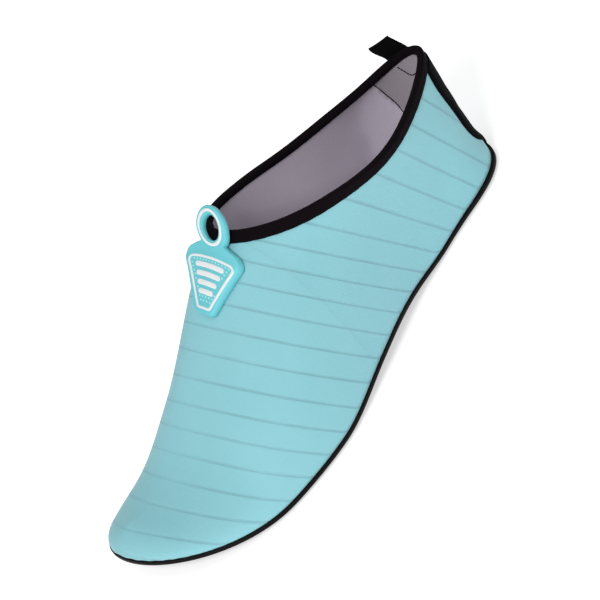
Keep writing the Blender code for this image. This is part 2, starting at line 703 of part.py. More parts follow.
def tag_outline():
    """Half of the tag's outline mirrored: ring, neck, shoulder and tip, then the shield set aside."""
    neck = math.degrees(math.asin(TAG_NECK_WIDTH / 2 / TAG_RING_RADIUS))
    shoulder = (TAG_SHIELD_START + TAG_SHOULDER_ROUND, TAG_SHOULDER_WIDTH / 2 - TAG_SHOULDER_ROUND)
    tip = (TAG_SHIELD_START + TAG_SHIELD_LENGTH - TAG_TIP_ROUND, TAG_TIP_WIDTH / 2 - TAG_TIP_ROUND)
    run, fall = tip[0] - shoulder[0], shoulder[1] - tip[1]
    taper = math.atan2(fall, run) + math.asin((TAG_SHOULDER_ROUND - TAG_TIP_ROUND) / math.hypot(run, fall))
    side = 90 - math.degrees(taper)
    half = arc((0, 0), TAG_RING_RADIUS, 180, neck, TAG_RING_STEPS)
    half += arc(shoulder, TAG_SHOULDER_ROUND, 180, side, TAG_CORNER_STEPS)
    nose = arc(tip, TAG_TIP_ROUND, side, 0, TAG_CORNER_STEPS)
    half += [tuple(point) for point in np.linspace(half[-1], nose[0], TAG_SIDE_STEPS)[1:-1]] + nose
    outline = half + [(along, -across) for along, across in half[:0:-1]]
    return [(along, across + TAG_SHIELD_ASIDE * (along > TAG_SHIELD_START - GAP)) for along, across in outline]


def instep_height(wall, along, across):
    """Height of the upper's outer face over each point, carried on straight behind the throat."""
    ahead = np.maximum(along, THROAT + BINDING_OUTSIDE)
    above = [Vector((*place, LENGTH)) for place in np.column_stack([ahead, across])]
    height = np.array([wall.ray_cast(place, Vector((0, 0, -1)))[0].z for place in above])
    return height + instep_slope() * (along - ahead)


def instep_slope():
    return (RIDGE_ROWS[1].height - RIDGE_ROWS[0].height) / (RIDGE_ROWS[1].along - THROAT)


def build_instep_tag(wall):
    outline = tag_outline()
    hole = arc((0, 0), TAG_HOLE_RADIUS, 0, 360, PAD_SIDES + 1)[:-1]
    plan, triangles, holders = triangulate([outline, hole], grid_inside(outline, TAG_GRID))
    triangles = [tri for tri, held in zip(triangles, holders) if 0 in held and 1 not in held]
    plan, triangles = only_used(plan, triangles)
    slope = instep_slope()
    level = 1 / math.hypot(1, slope)
    along = TAG_RING_ALONG + plan[:, 0] * level
    middle = TAG_RING_ACROSS + TAG_LEAN * np.maximum(plan[:, 0], 0)
    across = middle + plan[:, 1]
    normal = np.array([-slope * level, 0, level])
    under = np.column_stack([along, across, instep_height(wall, along, across)])
    fall = instep_height(wall, along, middle) - under[:, 2]
    flatten = np.where(plan[:, 1] < 0, TAG_FLATTEN_INNER, TAG_FLATTEN_OUTER)
    behind = np.maximum(TAG_BEND_FROM - plan[:, 0], 0)
    clear = TAG_LIFT + TAG_BEND * behind**2 / (behind + TAG_BEND_EASE)
    face = clear + TAG_THICKNESS + np.maximum(flatten * fall, -TAG_THICKNESS / 2)
    lower = under + clear[:, None] * normal
    upper = under + face[:, None] * normal
    make_object("instep_tag", *slab(plan, triangles, lower, upper), AQUA_PLASTIC)


for old in list(bpy.data.objects):
    bpy.data.objects.remove(old)
PARTS = bpy.data.collections.new("water_shoe")
bpy.context.scene.collection.children.link(PARTS)
SHOE = bpy.data.objects.new("water_shoe_origin", None)
PARTS.objects.link(SHOE)
STATIONS = make_stations()

build_outsole()
build_insole()
collar_edge, upper_surface = build_upper()
collar = collar_frames(collar_edge, upper_surface)
build_binding(collar)
build_heel_panel(upper_surface)
build_heel_tab(collar)
build_instep_tag(upper_surface)
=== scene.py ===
"""Looks of a left water shoe that stands empty on its sole: meshes, finishes, light and camera.

Sizes are millimetres in the shoe's own directions until a mesh is made. Along runs from the back of
the heel to the toe, across is positive on the outer side of the foot, and up is above the floor.
"""

import math
from collections import namedtuple

import bmesh
import bpy
import numpy as np
from mathutils import Matrix, Vector
from mathutils.bvhtree import BVHTree
from mathutils.geometry import delaunay_2d_cdt
from mathutils.kdtree import KDTree


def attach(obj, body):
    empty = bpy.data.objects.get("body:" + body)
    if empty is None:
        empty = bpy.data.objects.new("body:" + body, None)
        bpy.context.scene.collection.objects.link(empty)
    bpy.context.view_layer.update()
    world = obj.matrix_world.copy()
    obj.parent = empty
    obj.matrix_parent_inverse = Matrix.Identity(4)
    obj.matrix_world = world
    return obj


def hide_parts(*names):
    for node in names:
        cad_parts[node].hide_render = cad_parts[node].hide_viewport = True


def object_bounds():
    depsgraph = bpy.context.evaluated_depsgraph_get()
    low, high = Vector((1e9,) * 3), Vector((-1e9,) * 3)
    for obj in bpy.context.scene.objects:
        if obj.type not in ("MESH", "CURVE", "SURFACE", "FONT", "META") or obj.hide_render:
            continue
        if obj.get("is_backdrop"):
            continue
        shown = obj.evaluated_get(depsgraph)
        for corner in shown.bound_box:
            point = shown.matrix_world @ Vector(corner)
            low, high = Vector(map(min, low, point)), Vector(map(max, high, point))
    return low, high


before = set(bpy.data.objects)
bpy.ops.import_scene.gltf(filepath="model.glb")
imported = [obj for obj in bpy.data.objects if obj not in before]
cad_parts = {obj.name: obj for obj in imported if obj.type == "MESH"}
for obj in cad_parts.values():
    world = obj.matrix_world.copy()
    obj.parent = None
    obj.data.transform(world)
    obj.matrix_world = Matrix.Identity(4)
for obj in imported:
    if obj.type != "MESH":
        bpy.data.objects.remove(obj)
cad_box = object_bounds()


# Outsole: one moulding of black rubber, thin enough to roll up. The tread has hexagon lugs, round pads
# and a toe plate with raised fingers; a smooth bevel runs round the edge, and the upper is glued on top.
MM = 0.001
LENGTH = 250.0
HEEL_ROUND, HEEL_SQUARENESS = 36.0, 2.3
TOE_ROUND, TOE_SQUARENESS = 60.0, 2.15
SoleRow = namedtuple("SoleRow", "along centre half_width")
SOLE_ROWS = (
    SoleRow(0, -5.5, 28.0),
    SoleRow(30, -8.5, 29.7),
    SoleRow(75, -0.8, 28.7),
    SoleRow(120, 10.7, 31.1),
    SoleRow(165, 12.2, 38.4),
    SoleRow(200, 7.5, 41.5),
    SoleRow(LENGTH, -3.0, 41.8),
)
ARCH_LIFT, ARCH_AT, ARCH_REACH = 5.0, 108.0, 52.0
TOE_SPRING, SPRING_FROM = 9.6, 197.0
SOLE_THICKNESS = 4.0
BEVEL_WIDTH, BEVEL_RISE, BEVEL_CURVE = 6.0, 2.2, 1.15
SideRow = namedtuple("SideRow", "inset height")
SOLE_SIDE = (SideRow(0, 2.7), SideRow(0, 3.55), SideRow(0.12, 3.85), SideRow(0.42, SOLE_THICKNESS))

SOLE_ROW_PITCH, SOLE_COLUMNS = 0.62, 140
SOLE_END_RUN, SOLE_END_ROWS = 6.0, 18

TREAD_DEPTH, FINE_DEPTH = 1.2, 0.7
GROOVE_SLOPE = 0.7
RIM_WIDTH = 1.5
WAIST_STRIP, WAIST_STRIP_AT, WAIST_STRIP_REACH = 7.0, 106.0, 34.0
HEX_PITCH_ALONG, HEX_PITCH_ACROSS, HEX_GROOVE = 10.6, 9.6, 1.7
PAD_MOAT = 1.4
TreadPad = namedtuple("TreadPad", "along across half_length half_width face")
TREAD_PADS = (
    TreadPad(36.5, -11.5, 15.0, 15.0, "rings"),
    TreadPad(64.0, 7.0, 9.0, 9.0, "diamonds"),
    TreadPad(64.5, -12.5, 7.0, 7.0, "dome"),
    TreadPad(83.0, -3.0, 7.5, 7.5, "dome"),
    TreadPad(106.0, 2.0, 6.0, 6.0, "diamonds"),
    TreadPad(128.0, 3.0, 6.5, 6.0, "diamonds"),
    TreadPad(151.0, -1.5, 10.0, 8.5, "diamonds"),
    TreadPad(178.5, -8.0, 14.0, 12.0, "diamonds"),
    TreadPad(163.5, 27.5, 10.5, 10.5, "ribs"),
)
PAD_RING_AT, PAD_RING_WIDTH = 2.2, 0.9
HEEL_RINGS = (2.0, 4.2)
DOME_FALL = 0.6
DIAMOND_PITCH, DIAMOND_DEPTH = 2.1, 0.45
FLEX_AT, FLEX_SLANT, FLEX_BOW = 209.5, -0.22, -0.0065
FLEX_WIDTH, FLEX_BAR = 3.0, 3.0
ToeFinger = namedtuple("ToeFinger", "along across turn length")
TOE_FINGERS = (
    ToeFinger(221.0, -8.5, 1, 40),
    ToeFinger(215.5, 7.0, 7, 40),
    ToeFinger(209.5, 22.5, 12, 36),
    ToeFinger(203.5, 36.0, 10, 12),
)
TOE_PATCHES = (
    ToeFinger(235.0, 1.5, 5, 20),
    ToeFinger(228.0, 17.5, 11, 20),
    ToeFinger(218.0, 31.0, 14, 16),
)
FINGER_HALF, PATCH_HALF, FINGER_LINE = 3.0, 3.6, 1.0
BIG_TOE_PATCH_FROM, BIG_TOE_PATCH_SIDE = 222.0, -15.0
ToeDot = namedtuple("ToeDot", "along across")
TOE_DOTS = (ToeDot(215.0, -23.0), ToeDot(222.0, -0.5), ToeDot(215.5, 15.0), ToeDot(208.5, 29.5))
DOT_RADIUS = 1.1


def through(rows, column, along):
    """A smooth curve through one column of a table, read at places along it."""
    stations = np.array([row.along for row in rows], float)
    values = np.array([getattr(row, column) for row in rows], float)
    slopes = np.gradient(values, stations)
    along = np.clip(along, stations[0], stations[-1])
    left = np.clip(np.searchsorted(stations, along) - 1, 0, len(rows) - 2)
    span = stations[left + 1] - stations[left]
    part = (along - stations[left]) / span
    return (
        values[left] * (1 + 2 * part) * (1 - part) ** 2
        + slopes[left] * span * part * (1 - part) ** 2
        + values[left + 1] * part**2 * (3 - 2 * part)
        - slopes[left + 1] * span * part**2 * (1 - part)
    )


def ease(part):
    part = np.clip(part, 0, 1)
    return part * part * (3 - 2 * part)


def rounded_end(distance, length, squareness):
    """Grows from 0 at an end to 1 at the given length from it, as a rounded nose does."""
    back = np.clip((length - distance) / length, 0, 1)
    return (1 - back**squareness) ** (1 / squareness)


def sole_rise(along):
    """Height of the tread above the floor: the arch in the waist and the spring at the toe."""
    arch = np.clip(1 - ((along - ARCH_AT) / ARCH_REACH) ** 2, 0, 1) ** 2
    spring = np.clip((along - SPRING_FROM) / (LENGTH - SPRING_FROM), 0, 1) ** 2
    return ARCH_LIFT * arch + TOE_SPRING * spring


def sole_edge(along, side):
    ends = rounded_end(along, HEEL_ROUND, HEEL_SQUARENESS)
    ends = ends * rounded_end(LENGTH - along, TOE_ROUND, TOE_SQUARENESS)
    return through(SOLE_ROWS, "centre", along) + side * ends * through(SOLE_ROWS, "half_width", along)


def round_the_shoe(stations):
    """Station and side of each point of a loop: heel to toe outside, then back inside."""
    along = np.concatenate([stations, stations[-2:0:-1]])
    side = np.concatenate([np.ones(len(stations)), -np.ones(len(stations) - 2)])
    return along, side


def unit(vectors):
    return vectors / np.linalg.norm(vectors, axis=-1, keepdims=True)


def ahead_round(loop):
    """Direction of a closed loop at each of its points."""
    return unit(np.roll(loop, -1, axis=0) - np.roll(loop, 1, axis=0))


def sole_outline(stations, inset):
    """The sole's edge as a closed loop, moved inward."""
    along, side = round_the_shoe(stations)
    loop = np.stack([along, sole_edge(along, side)], axis=1)
    ahead = ahead_round(loop)
    inward = np.stack([ahead[:, 1], -ahead[:, 0]], axis=1)
    return loop + inward * np.broadcast_to(inset, len(loop))[:, None]


def scene_points(points):
    """Millimetres along, across and up, as metres in the frame."""
    points = np.asarray(points, float)
    return np.stack([points[:, 1] - SOLE_MIDDLE, LENGTH / 2 - points[:, 0], points[:, 2]], axis=1) * MM


def groove(distance, width):
    """1 on a groove's floor and 0 beside it, with sloping walls; distance is from its middle line."""
    return 1 - ease((distance - width / 2) / GROOVE_SLOPE + 0.5)


def hexagon_wall(along, across):
    """Distance to the nearest wall between two cells of the hexagon pattern."""
    squeeze = HEX_PITCH_ALONG * math.sqrt(3) / 2 / HEX_PITCH_ACROSS
    column = np.round(across / HEX_PITCH_ACROSS)
    nearest = np.full(along.shape, LENGTH)
    for step in (-1, 0, 1):
        shift = HEX_PITCH_ALONG / 2 * ((column + step) % 2)
        row = np.round((along - shift) / HEX_PITCH_ALONG)
        away = np.abs(along - shift - row * HEX_PITCH_ALONG)
        aside = np.abs(across - (column + step) * HEX_PITCH_ACROSS) * squeeze
        nearest = np.minimum(nearest, np.maximum(away, away / 2 + aside * math.sqrt(3) / 2))
    return HEX_PITCH_ALONG / 2 - nearest


def diamonds(along, across):
    """Depth of the fine crossed grooves on the pads and patches."""
    leaning = np.sin(math.pi * (along + across) / DIAMOND_PITCH)
    crossing = np.sin(math.pi * (along - across) / DIAMOND_PITCH)
    return DIAMOND_DEPTH * (1 - np.abs(leaning * crossing))


def pad_face(pad, along, across, outside):
    """How far each place on a round pad lies above the plane that the pad stands on."""
    if pad.face == "dome":
        return DOME_FALL * np.clip(1 + outside / pad.half_width, 0, 1) ** 2
    if pad.face == "rings":
        return FINE_DEPTH * sum(groove(np.abs(outside + ring), PAD_RING_WIDTH) for ring in HEEL_RINGS)
    ring = FINE_DEPTH * groove(np.abs(outside + PAD_RING_AT), PAD_RING_WIDTH)
    texture = diamonds(along, across)
    if pad.face == "ribs":
        texture = DIAMOND_DEPTH * (0.5 + 0.5 * np.cos(2 * math.pi * across / DIAMOND_PITCH))
    return ring + texture * ease(-(outside + PAD_RING_AT + PAD_RING_WIDTH) / GROOVE_SLOPE)


def from_finger(finger, along, across):
    """Distance from the middle line of a toe finger, which starts at its tip and runs to the toe."""
    ahead = np.array([math.cos(math.radians(finger.turn)), math.sin(math.radians(finger.turn))])
    run = (along - finger.along) * ahead[0] + (across - finger.across) * ahead[1]
    run = np.clip(run, 0, finger.length)
    return np.hypot(along - finger.along - run * ahead[0], across - finger.across - run * ahead[1])


def toe_plate(along, across):
    """Relief of the plate under the toes: finger outlines with a dimple, patches and dots."""
    sunk = np.zeros(along.shape)
    for finger in TOE_FINGERS:
        outline = np.abs(from_finger(finger, along, across) - FINGER_HALF)
        sunk = np.maximum(sunk, groove(outline, FINGER_LINE))
    dots = TOE_DOTS + tuple(ToeDot(finger.along + FINGER_LINE, finger.across) for finger in TOE_FINGERS)
    for dot in dots:
        away = np.hypot(along - dot.along, across - dot.across)
        sunk = np.maximum(sunk, groove(away, DOT_RADIUS * 2))
    sunk = sunk * FINE_DEPTH
    for patch in TOE_PATCHES:
        away = from_finger(patch, along, across)
        sunk = np.maximum(sunk, FINE_DEPTH * groove(np.abs(away - PATCH_HALF), FINGER_LINE))
        sunk = np.where(away < PATCH_HALF - FINGER_LINE, diamonds(along, across), sunk)
    border = np.maximum(BIG_TOE_PATCH_FROM - along, across - BIG_TOE_PATCH_SIDE)
    sunk = np.maximum(sunk, FINE_DEPTH * groove(np.abs(border), FINGER_LINE))
    return np.where(border < -FINGER_LINE, diamonds(along, across), sunk)


def tread_relief(along, across, from_edge):
    """Height of each place of the tread above the plane that its highest lugs stand on."""
    inner_side = across < through(SOLE_ROWS, "centre", along)
    strip = np.clip(1 - ((along - WAIST_STRIP_AT) / WAIST_STRIP_REACH) ** 2, 0, 1)
    rim = BEVEL_WIDTH + RIM_WIDTH + WAIST_STRIP * strip * inner_side
    within = ease((from_edge - rim) / GROOVE_SLOPE)
    flex = along - (FLEX_AT + FLEX_SLANT * across + FLEX_BOW * across**2)
    behind = ease((-flex - FLEX_WIDTH / 2 - FLEX_BAR) / GROOVE_SLOPE)
    sunk = TREAD_DEPTH * groove(hexagon_wall(along, across), HEX_GROOVE) * within * behind
    for pad in TREAD_PADS:
        share = np.hypot((along - pad.along) / pad.half_length, (across - pad.across) / pad.half_width)
        outside = (share - 1) * (pad.half_length + pad.half_width) / 2
        moat = TREAD_DEPTH * groove(np.abs(outside - PAD_MOAT / 2), PAD_MOAT)
        sunk = np.where(outside < PAD_MOAT * 2, np.maximum(sunk * (outside > 0), moat), sunk)
        sunk = np.where(outside < 0, np.maximum(moat, pad_face(pad, along, across, outside)), sunk)
    plate = toe_plate(along, across) * ease((from_edge - BEVEL_WIDTH) / GROOVE_SLOPE)
    sunk = np.where(flex > FLEX_WIDTH / 2 + FLEX_BAR, plate, sunk)
    crossing = groove(np.abs(flex), FLEX_WIDTH) * ease((from_edge - BEVEL_WIDTH) / GROOVE_SLOPE)
    return np.maximum(sunk, TREAD_DEPTH * crossing)


def start_material(name, constants):
    """A material and its shader, whose sockets hold what is the same all over the surface."""
    material = bpy.data.materials.new(name)
    material.use_nodes = True
    shader = material.node_tree.nodes["Principled BSDF"]
    for socket, value in constants.items():
        shader.inputs[socket].default_value = value
    return material, shader


def node(material, kind, inputs, **settings):
    """A shader node; each input is a value, or the socket of another node."""
    made = material.node_tree.nodes.new("ShaderNode" + kind)
    for name, value in settings.items():
        setattr(made, name, value)
    for name, value in inputs.items():
        if isinstance(value, bpy.types.NodeSocket):
            material.node_tree.links.new(value, made.inputs[name])
        else:
            made.inputs[name].default_value = value
    return made


def noise(material, cells, detail=2.0):
    """Noise with the given number of cells in a metre."""
    place = node(material, "TexCoord", {}).outputs["Object"]
    return node(material, "TexNoise", {"Vector": place, "Scale": cells, "Detail": detail}).outputs["Fac"]


def spread(material, value, low, high, start=0.0, end=1.0):
    """A value between start and end moved to the range from low to high."""
    inputs = {"Value": value, "From Min": start, "From Max": end, "To Min": low, "To Max": high}
    return node(material, "MapRange", inputs).outputs["Result"]


MIX_FIRST, MIX_SECOND, MIX_RESULT = 6, 7, 2


def blend(material, share, first, second):
    """Two colours mixed by a share; each is a colour or a socket."""
    inputs = {"Factor": share, MIX_FIRST: first, MIX_SECOND: second}
    return node(material, "Mix", inputs, data_type="RGBA").outputs[MIX_RESULT]


def bump(material, height, depth, under=None):
    """A bump of the given depth in metres, over another bump if there is one."""
    inputs = {"Height": height, "Distance": depth}
    if under is not None:
        inputs["Normal"] = under
    return node(material, "Bump", inputs).outputs["Normal"]


def connect(material, shader, **sockets):
    for socket, value in sockets.items():
        material.node_tree.links.new(value, shader.inputs[socket.replace("_", " ")])


Cloud = namedtuple("Cloud", "cells detail")
Grain = namedtuple("Grain", "cells depth")


def moulded(name, finish, colours, roughness, cloud, grain):
    """A moulded material: two colours and two roughnesses mixed in soft clouds, under a fine grain."""
    material, shader = start_material(name, finish)
    share = noise(material, *cloud)
    connect(
        material,
        shader,
        Base_Color=blend(material, share, *colours),
        Roughness=spread(material, share, *roughness),
        Normal=bump(material, noise(material, grain.cells), grain.depth),
    )
    return material


def make_piece(name, points, faces, material, slot, replaced=()):
    """A smooth mesh piece from points in the shoe's directions, fixed to the shoe."""
    mesh = bpy.data.meshes.new(name)
    mesh.from_pydata(scene_points(points).tolist(), [], faces)
    model = bmesh.new()
    model.from_mesh(mesh)
    bmesh.ops.recalc_face_normals(model, faces=model.faces)
    model.to_mesh(mesh)
    model.free()
    mesh.shade_smooth()
    mesh.materials.append(material)
    piece = bpy.data.objects.new(name, mesh)
    bpy.context.scene.collection.objects.link(piece)
    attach(piece, "root")
    if replaced:
        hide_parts(*replaced)
    return piece


end_rows = SOLE_END_RUN * (np.arange(SOLE_END_ROWS) / SOLE_END_ROWS) ** 2
between = round((LENGTH - 2 * SOLE_END_RUN) / SOLE_ROW_PITCH) + 1
sole_rows = np.concatenate(
    [end_rows, np.linspace(SOLE_END_RUN, LENGTH - SOLE_END_RUN, between), LENGTH - end_rows[::-1]]
)
sole_loop = sole_outline(sole_rows, 0)
SOLE_MIDDLE = (sole_loop[:, 1].max() + sole_loop[:, 1].min()) / 2

along_grid = np.repeat(sole_rows[1:-1, None], SOLE_COLUMNS + 1, axis=1)
across_grid = sole_edge(along_grid, np.linspace(-1, 1, SOLE_COLUMNS + 1)[None, :])
tread_plan = np.column_stack([along_grid.ravel(), across_grid.ravel()])
tread_plan = np.concatenate([sole_loop[:1], tread_plan, sole_loop[len(sole_rows) - 1 : len(sole_rows)]])
edge_tree = KDTree(len(sole_loop))
for i, place in enumerate(sole_loop):
    edge_tree.insert((*place, 0), i)
edge_tree.balance()
from_edge = np.array([edge_tree.find((*place, 0))[2] for place in tread_plan])
bevel = BEVEL_RISE * np.clip(1 - from_edge / BEVEL_WIDTH, 0, 1) ** BEVEL_CURVE
relief = tread_relief(tread_plan[:, 0], tread_plan[:, 1], from_edge)
sole_points = np.column_stack([tread_plan, sole_rise(tread_plan[:, 0]) + bevel + relief])
last_row = len(sole_rows) - 1


def sole_point_number(row, column):
    """Number of a tread point; each end row is one point."""
    if row == 0:
        return 0
    if row == last_row:
        return len(tread_plan) - 1
    return 1 + (row - 1) * (SOLE_COLUMNS + 1) + column


sole_faces = []
for row in range(last_row):
    for column in range(SOLE_COLUMNS):
        corners = [(row, column), (row + 1, column), (row + 1, column + 1), (row, column + 1)]
        sole_faces.append(tuple(dict.fromkeys(sole_point_number(*corner) for corner in corners)))
below = [sole_point_number(row, SOLE_COLUMNS) for row in range(last_row + 1)]
below += [sole_point_number(row, 0) for row in range(last_row - 1, 0, -1)]
for inset, height in SOLE_SIDE:
    ring = sole_outline(sole_rows, inset)
    above = list(range(len(sole_points), len(sole_points) + len(ring)))
    ring_points = np.column_stack([ring, sole_rise(sole_loop[:, 0]) + height])
    sole_points = np.concatenate([sole_points, ring_points])
    sole_faces += [(below[i - 1], below[i], above[i], above[i - 1]) for i in range(len(ring))]
    below = above
for i in range(last_row):
    sole_faces.append(tuple(dict.fromkeys([below[i], below[i + 1], below[-i - 1], below[-i]])))

RUBBER_COLOUR, RUBBER_DUST = (0.0024, 0.0022, 0.0025, 1), (0.0055, 0.005, 0.0055, 1)
RUBBER_FINISH, RUBBER_ROUGHNESS = {"Specular IOR Level": 0.1}, (0.45, 0.65)
RUBBER_CLOUD, RUBBER_GRAIN = Cloud(60.0, 4.0), Grain(2200.0, 0.00006)
black_rubber = moulded(
    "black_rubber",
    RUBBER_FINISH,
    (RUBBER_COLOUR, RUBBER_DUST),
    RUBBER_ROUGHNESS,
    RUBBER_CLOUD,
    RUBBER_GRAIN,
)
make_piece("outsole_rubber", sole_points, sole_faces, black_rubber, "black_rubber", ["outsole"])


# Insole: a sheet of grey foam with a fine fabric face, die cut to the inside of the shoe. It lies on the
# outsole, and its rim is slightly rounded where the cutter pressed it.
GAP = 0.3
SHAPE_STATIONS = 20
THROAT = 126.0
INSOLE_INSET, INSOLE_HEEL_INSET, HEEL_INSET_REACH = 4.2, 4.0, 60.0
INSOLE_TOE_INSET, INSOLE_TOE_FROM = 4.5, 195.0
INSOLE_FINER, INSOLE_GRID = 4, 3.0
PlateRow = namedtuple("PlateRow", "inset rise")
INSOLE_SIDE = (
    PlateRow(0.5, 0),
    PlateRow(0, 0.5),
    PlateRow(0, 2.3),
    PlateRow(0.3, 2.8),
    PlateRow(0.9, 3.0),
)
INSIDE_ONLY, JOIN_WITHIN = 1, 1e-6


def make_stations(finer):
    """Places along the shoe, closest together at the heel, the throat and the toe."""
    part = (1 - np.cos(np.linspace(0, math.pi, SHAPE_STATIONS * finer + 1))) / 2
    return np.concatenate([THROAT * part, THROAT + (LENGTH - THROAT) * part[1:]])


def seat_height(along):
    return sole_rise(along) + SOLE_THICKNESS + GAP


def turned_left(loop):
    here, there = np.array(loop), np.roll(loop, -1, axis=0)
    area = np.sum(here[:, 0] * there[:, 1] - here[:, 1] * there[:, 0])
    return here if area > 0 else here[::-1]


def fill_loops(loops, spacing):
    """Grid points inside the first loop and outside the others, and triangles over all the points."""
    corners = np.concatenate(loops)
    low, high = corners.min(axis=0), corners.max(axis=0)
    grid = [
        (first, second)
        for first in np.arange(low[0] + spacing / 2, high[0], spacing)
        for second in np.arange(low[1] + spacing / 2, high[1], spacing)
    ]
    starts = np.cumsum([0] + [len(loop) for loop in loops])
    rings = [list(range(starts[i], starts[i + 1])) for i in range(len(loops))]
    rings = [rings[0]] + [ring[::-1] for ring in rings[1:]]
    places = [Vector(place) for place in [*corners.tolist(), *grid]]
    filled = delaunay_2d_cdt(places, [], rings, INSIDE_ONLY, JOIN_WITHIN, True)
    points, _, triangles, origins, _, holders = filled
    kept = [tri for tri, held in zip(triangles, holders) if 0 in held and len(held) == 1]
    used = sorted({corner for tri in kept for corner in tri})
    known = {corner: origins[corner][0] for corner in used if origins[corner][0] < len(corners)}
    extra = [corner for corner in used if corner not in known]
    known.update({corner: len(corners) + i for i, corner in enumerate(extra)})
    inside = np.array([points[corner] for corner in extra]).reshape(-1, 2)
    return inside, [tuple(known[corner] for corner in tri) for tri in kept]


def rounded_plate(outline, holes, side, spacing, put):
    """Points and faces of a plate; side gives the inset and rise of each row up its rounded edge."""
    loops = [turned_left(outline)] + [turned_left(hole)[::-1] for hole in holes]
    rows = []
    for inset, rise in side:
        row = []
        for loop in loops:
            ahead = ahead_round(loop)
            row.append(loop + inset * np.stack([-ahead[:, 1], ahead[:, 0]], axis=1))
        rows.append(row)
    count = sum(len(loop) for loop in loops)
    points = np.concatenate([put(np.concatenate(row), rise) for row, (_, rise) in zip(rows, side)])
    faces = []
    for level in range(len(side) - 1):
        start = level * count
        for loop in loops:
            for i in range(len(loop)):
                j = (i + 1) % len(loop)
                faces.append((start + i, start + j, start + count + j, start + count + i))
            start += len(loop)
    for level in (0, len(side) - 1):
        inside, triangles = fill_loops(rows[level], spacing)
        first = len(points)
        number = [level * count + i for i in range(count)] + [first + i for i in range(len(inside))]
        if len(inside):
            points = np.concatenate([points, put(inside, side[level].rise)])
        faces += [tuple(number[corner] for corner in tri) for tri in triangles]
    return points, faces


def on_outsole(plan, rise):
    return np.column_stack([plan, seat_height(plan[:, 0]) + rise])


insole_stations = make_stations(INSOLE_FINER)
insole_along, _ = round_the_shoe(insole_stations)
to_toe = (insole_along - INSOLE_TOE_FROM) / (LENGTH - INSOLE_TOE_FROM)
insole_inset = INSOLE_INSET + INSOLE_HEEL_INSET * ease(1 - insole_along / HEEL_INSET_REACH)
insole_inset = insole_inset + INSOLE_TOE_INSET * ease(to_toe)
insole_outline = sole_outline(insole_stations, insole_inset)
insole_points, insole_faces = rounded_plate(insole_outline, [], INSOLE_SIDE, INSOLE_GRID, on_outsole)

INSOLE_COLOUR, INSOLE_FLECK = (0.20, 0.185, 0.21, 1), (0.29, 0.27, 0.30, 1)
CLOTH_CELLS, CLOTH_GRAIN_DEPTH = 1600.0, 0.00015


def cloth_finish(roughness, sheen, sheen_roughness, gloss):
    return {
        "Roughness": roughness,
        "Sheen Weight": sheen,
        "Sheen Roughness": sheen_roughness,
        "Specular IOR Level": gloss,
    }


def flecked(name, finish, colours, depth):
    """A soft material: two colours mixed in fine flecks, which are also its grain."""
    material, shader = start_material(name, finish)
    fleck = noise(material, CLOTH_CELLS)
    colour = blend(material, fleck, *colours)
    connect(material, shader, Base_Color=colour, Normal=bump(material, fleck, depth))
    return material


INSOLE_FINISH = cloth_finish(roughness=0.92, sheen=0.25, sheen_roughness=0.5, gloss=0.5)
grey_foam = flecked("grey_foam", INSOLE_FINISH, (INSOLE_COLOUR, INSOLE_FLECK), CLOTH_GRAIN_DEPTH)
insole = make_piece("insole_foam", insole_points, insole_faces, grey_foam, "grey_foam", ["insole"])


# Upper: a sock of aqua stretch fabric, knitted with a thin grey line every centimetre and cut from one
# piece, so that its lines lean forward over the foot. It is lasted on the sole and open at the collar.
UPPER_WALL, FABRIC_THICKNESS = 1.8, 0.9
UPPER_INSET, HEEL_INSET = 0.6, 0.9
HEEL_LEAN, HEEL_BLEND = 4.8, 40.0
RIDGE_END, TOE_BLEND = 238.0, 185.0
COLLAR_BACK_ROUND, COLLAR_FRONT_ROUND, COLLAR_SQUARENESS = 45.0, 47.0, 2.0
CollarRow = namedtuple("CollarRow", "along centre half_width height")
COLLAR_ROWS = (
    CollarRow(HEEL_LEAN, 2.0, 17.0, 64.6),
    CollarRow(30, 1.5, 20.8, 61.5),
    CollarRow(60, 1.5, 27.2, 63.1),
    CollarRow(95, 1.6, 28.8, 73.3),
    CollarRow(THROAT, -4.3, 31.9, 81.5),
)
RidgeRow = namedtuple("RidgeRow", "along across height")
RIDGE_ROWS = (
    RidgeRow(THROAT, -4.3, 81.5),
    RidgeRow(155, -4.5, 63.6),
    RidgeRow(186, -3.8, 42.8),
    RidgeRow(212, -3.6, 22.4),
    RidgeRow(224, -5.0, 19.5),
    RidgeRow(RIDGE_END, -7.5, 20.8),
)
ARCH_CROWN, ARCH_ROUNDNESS = 2.1, 1.9
INNER_SQUARER, INNER_SQUARER_UNTIL, INNER_SQUARER_FADE = 1.3, 130.0, 60.0
COLLAR_CUT, COLLAR_CUT_BACK = 0.75, 60.0
INSTEP_SWELL, SWELL_AT, SWELL_REACH = 9.0, 112.0, 75.0
TUCK_POWER = 3.0
FLARE_FROM, FLARE_POWER, FLARE_REACH = 0.09, 8.0, 30.0
HEEL_LIP, LIP_POWER, LIP_REACH = 2.5, 1.7, 25.0
UPPER_FINER, UPPER_LEVELS = 5, 46

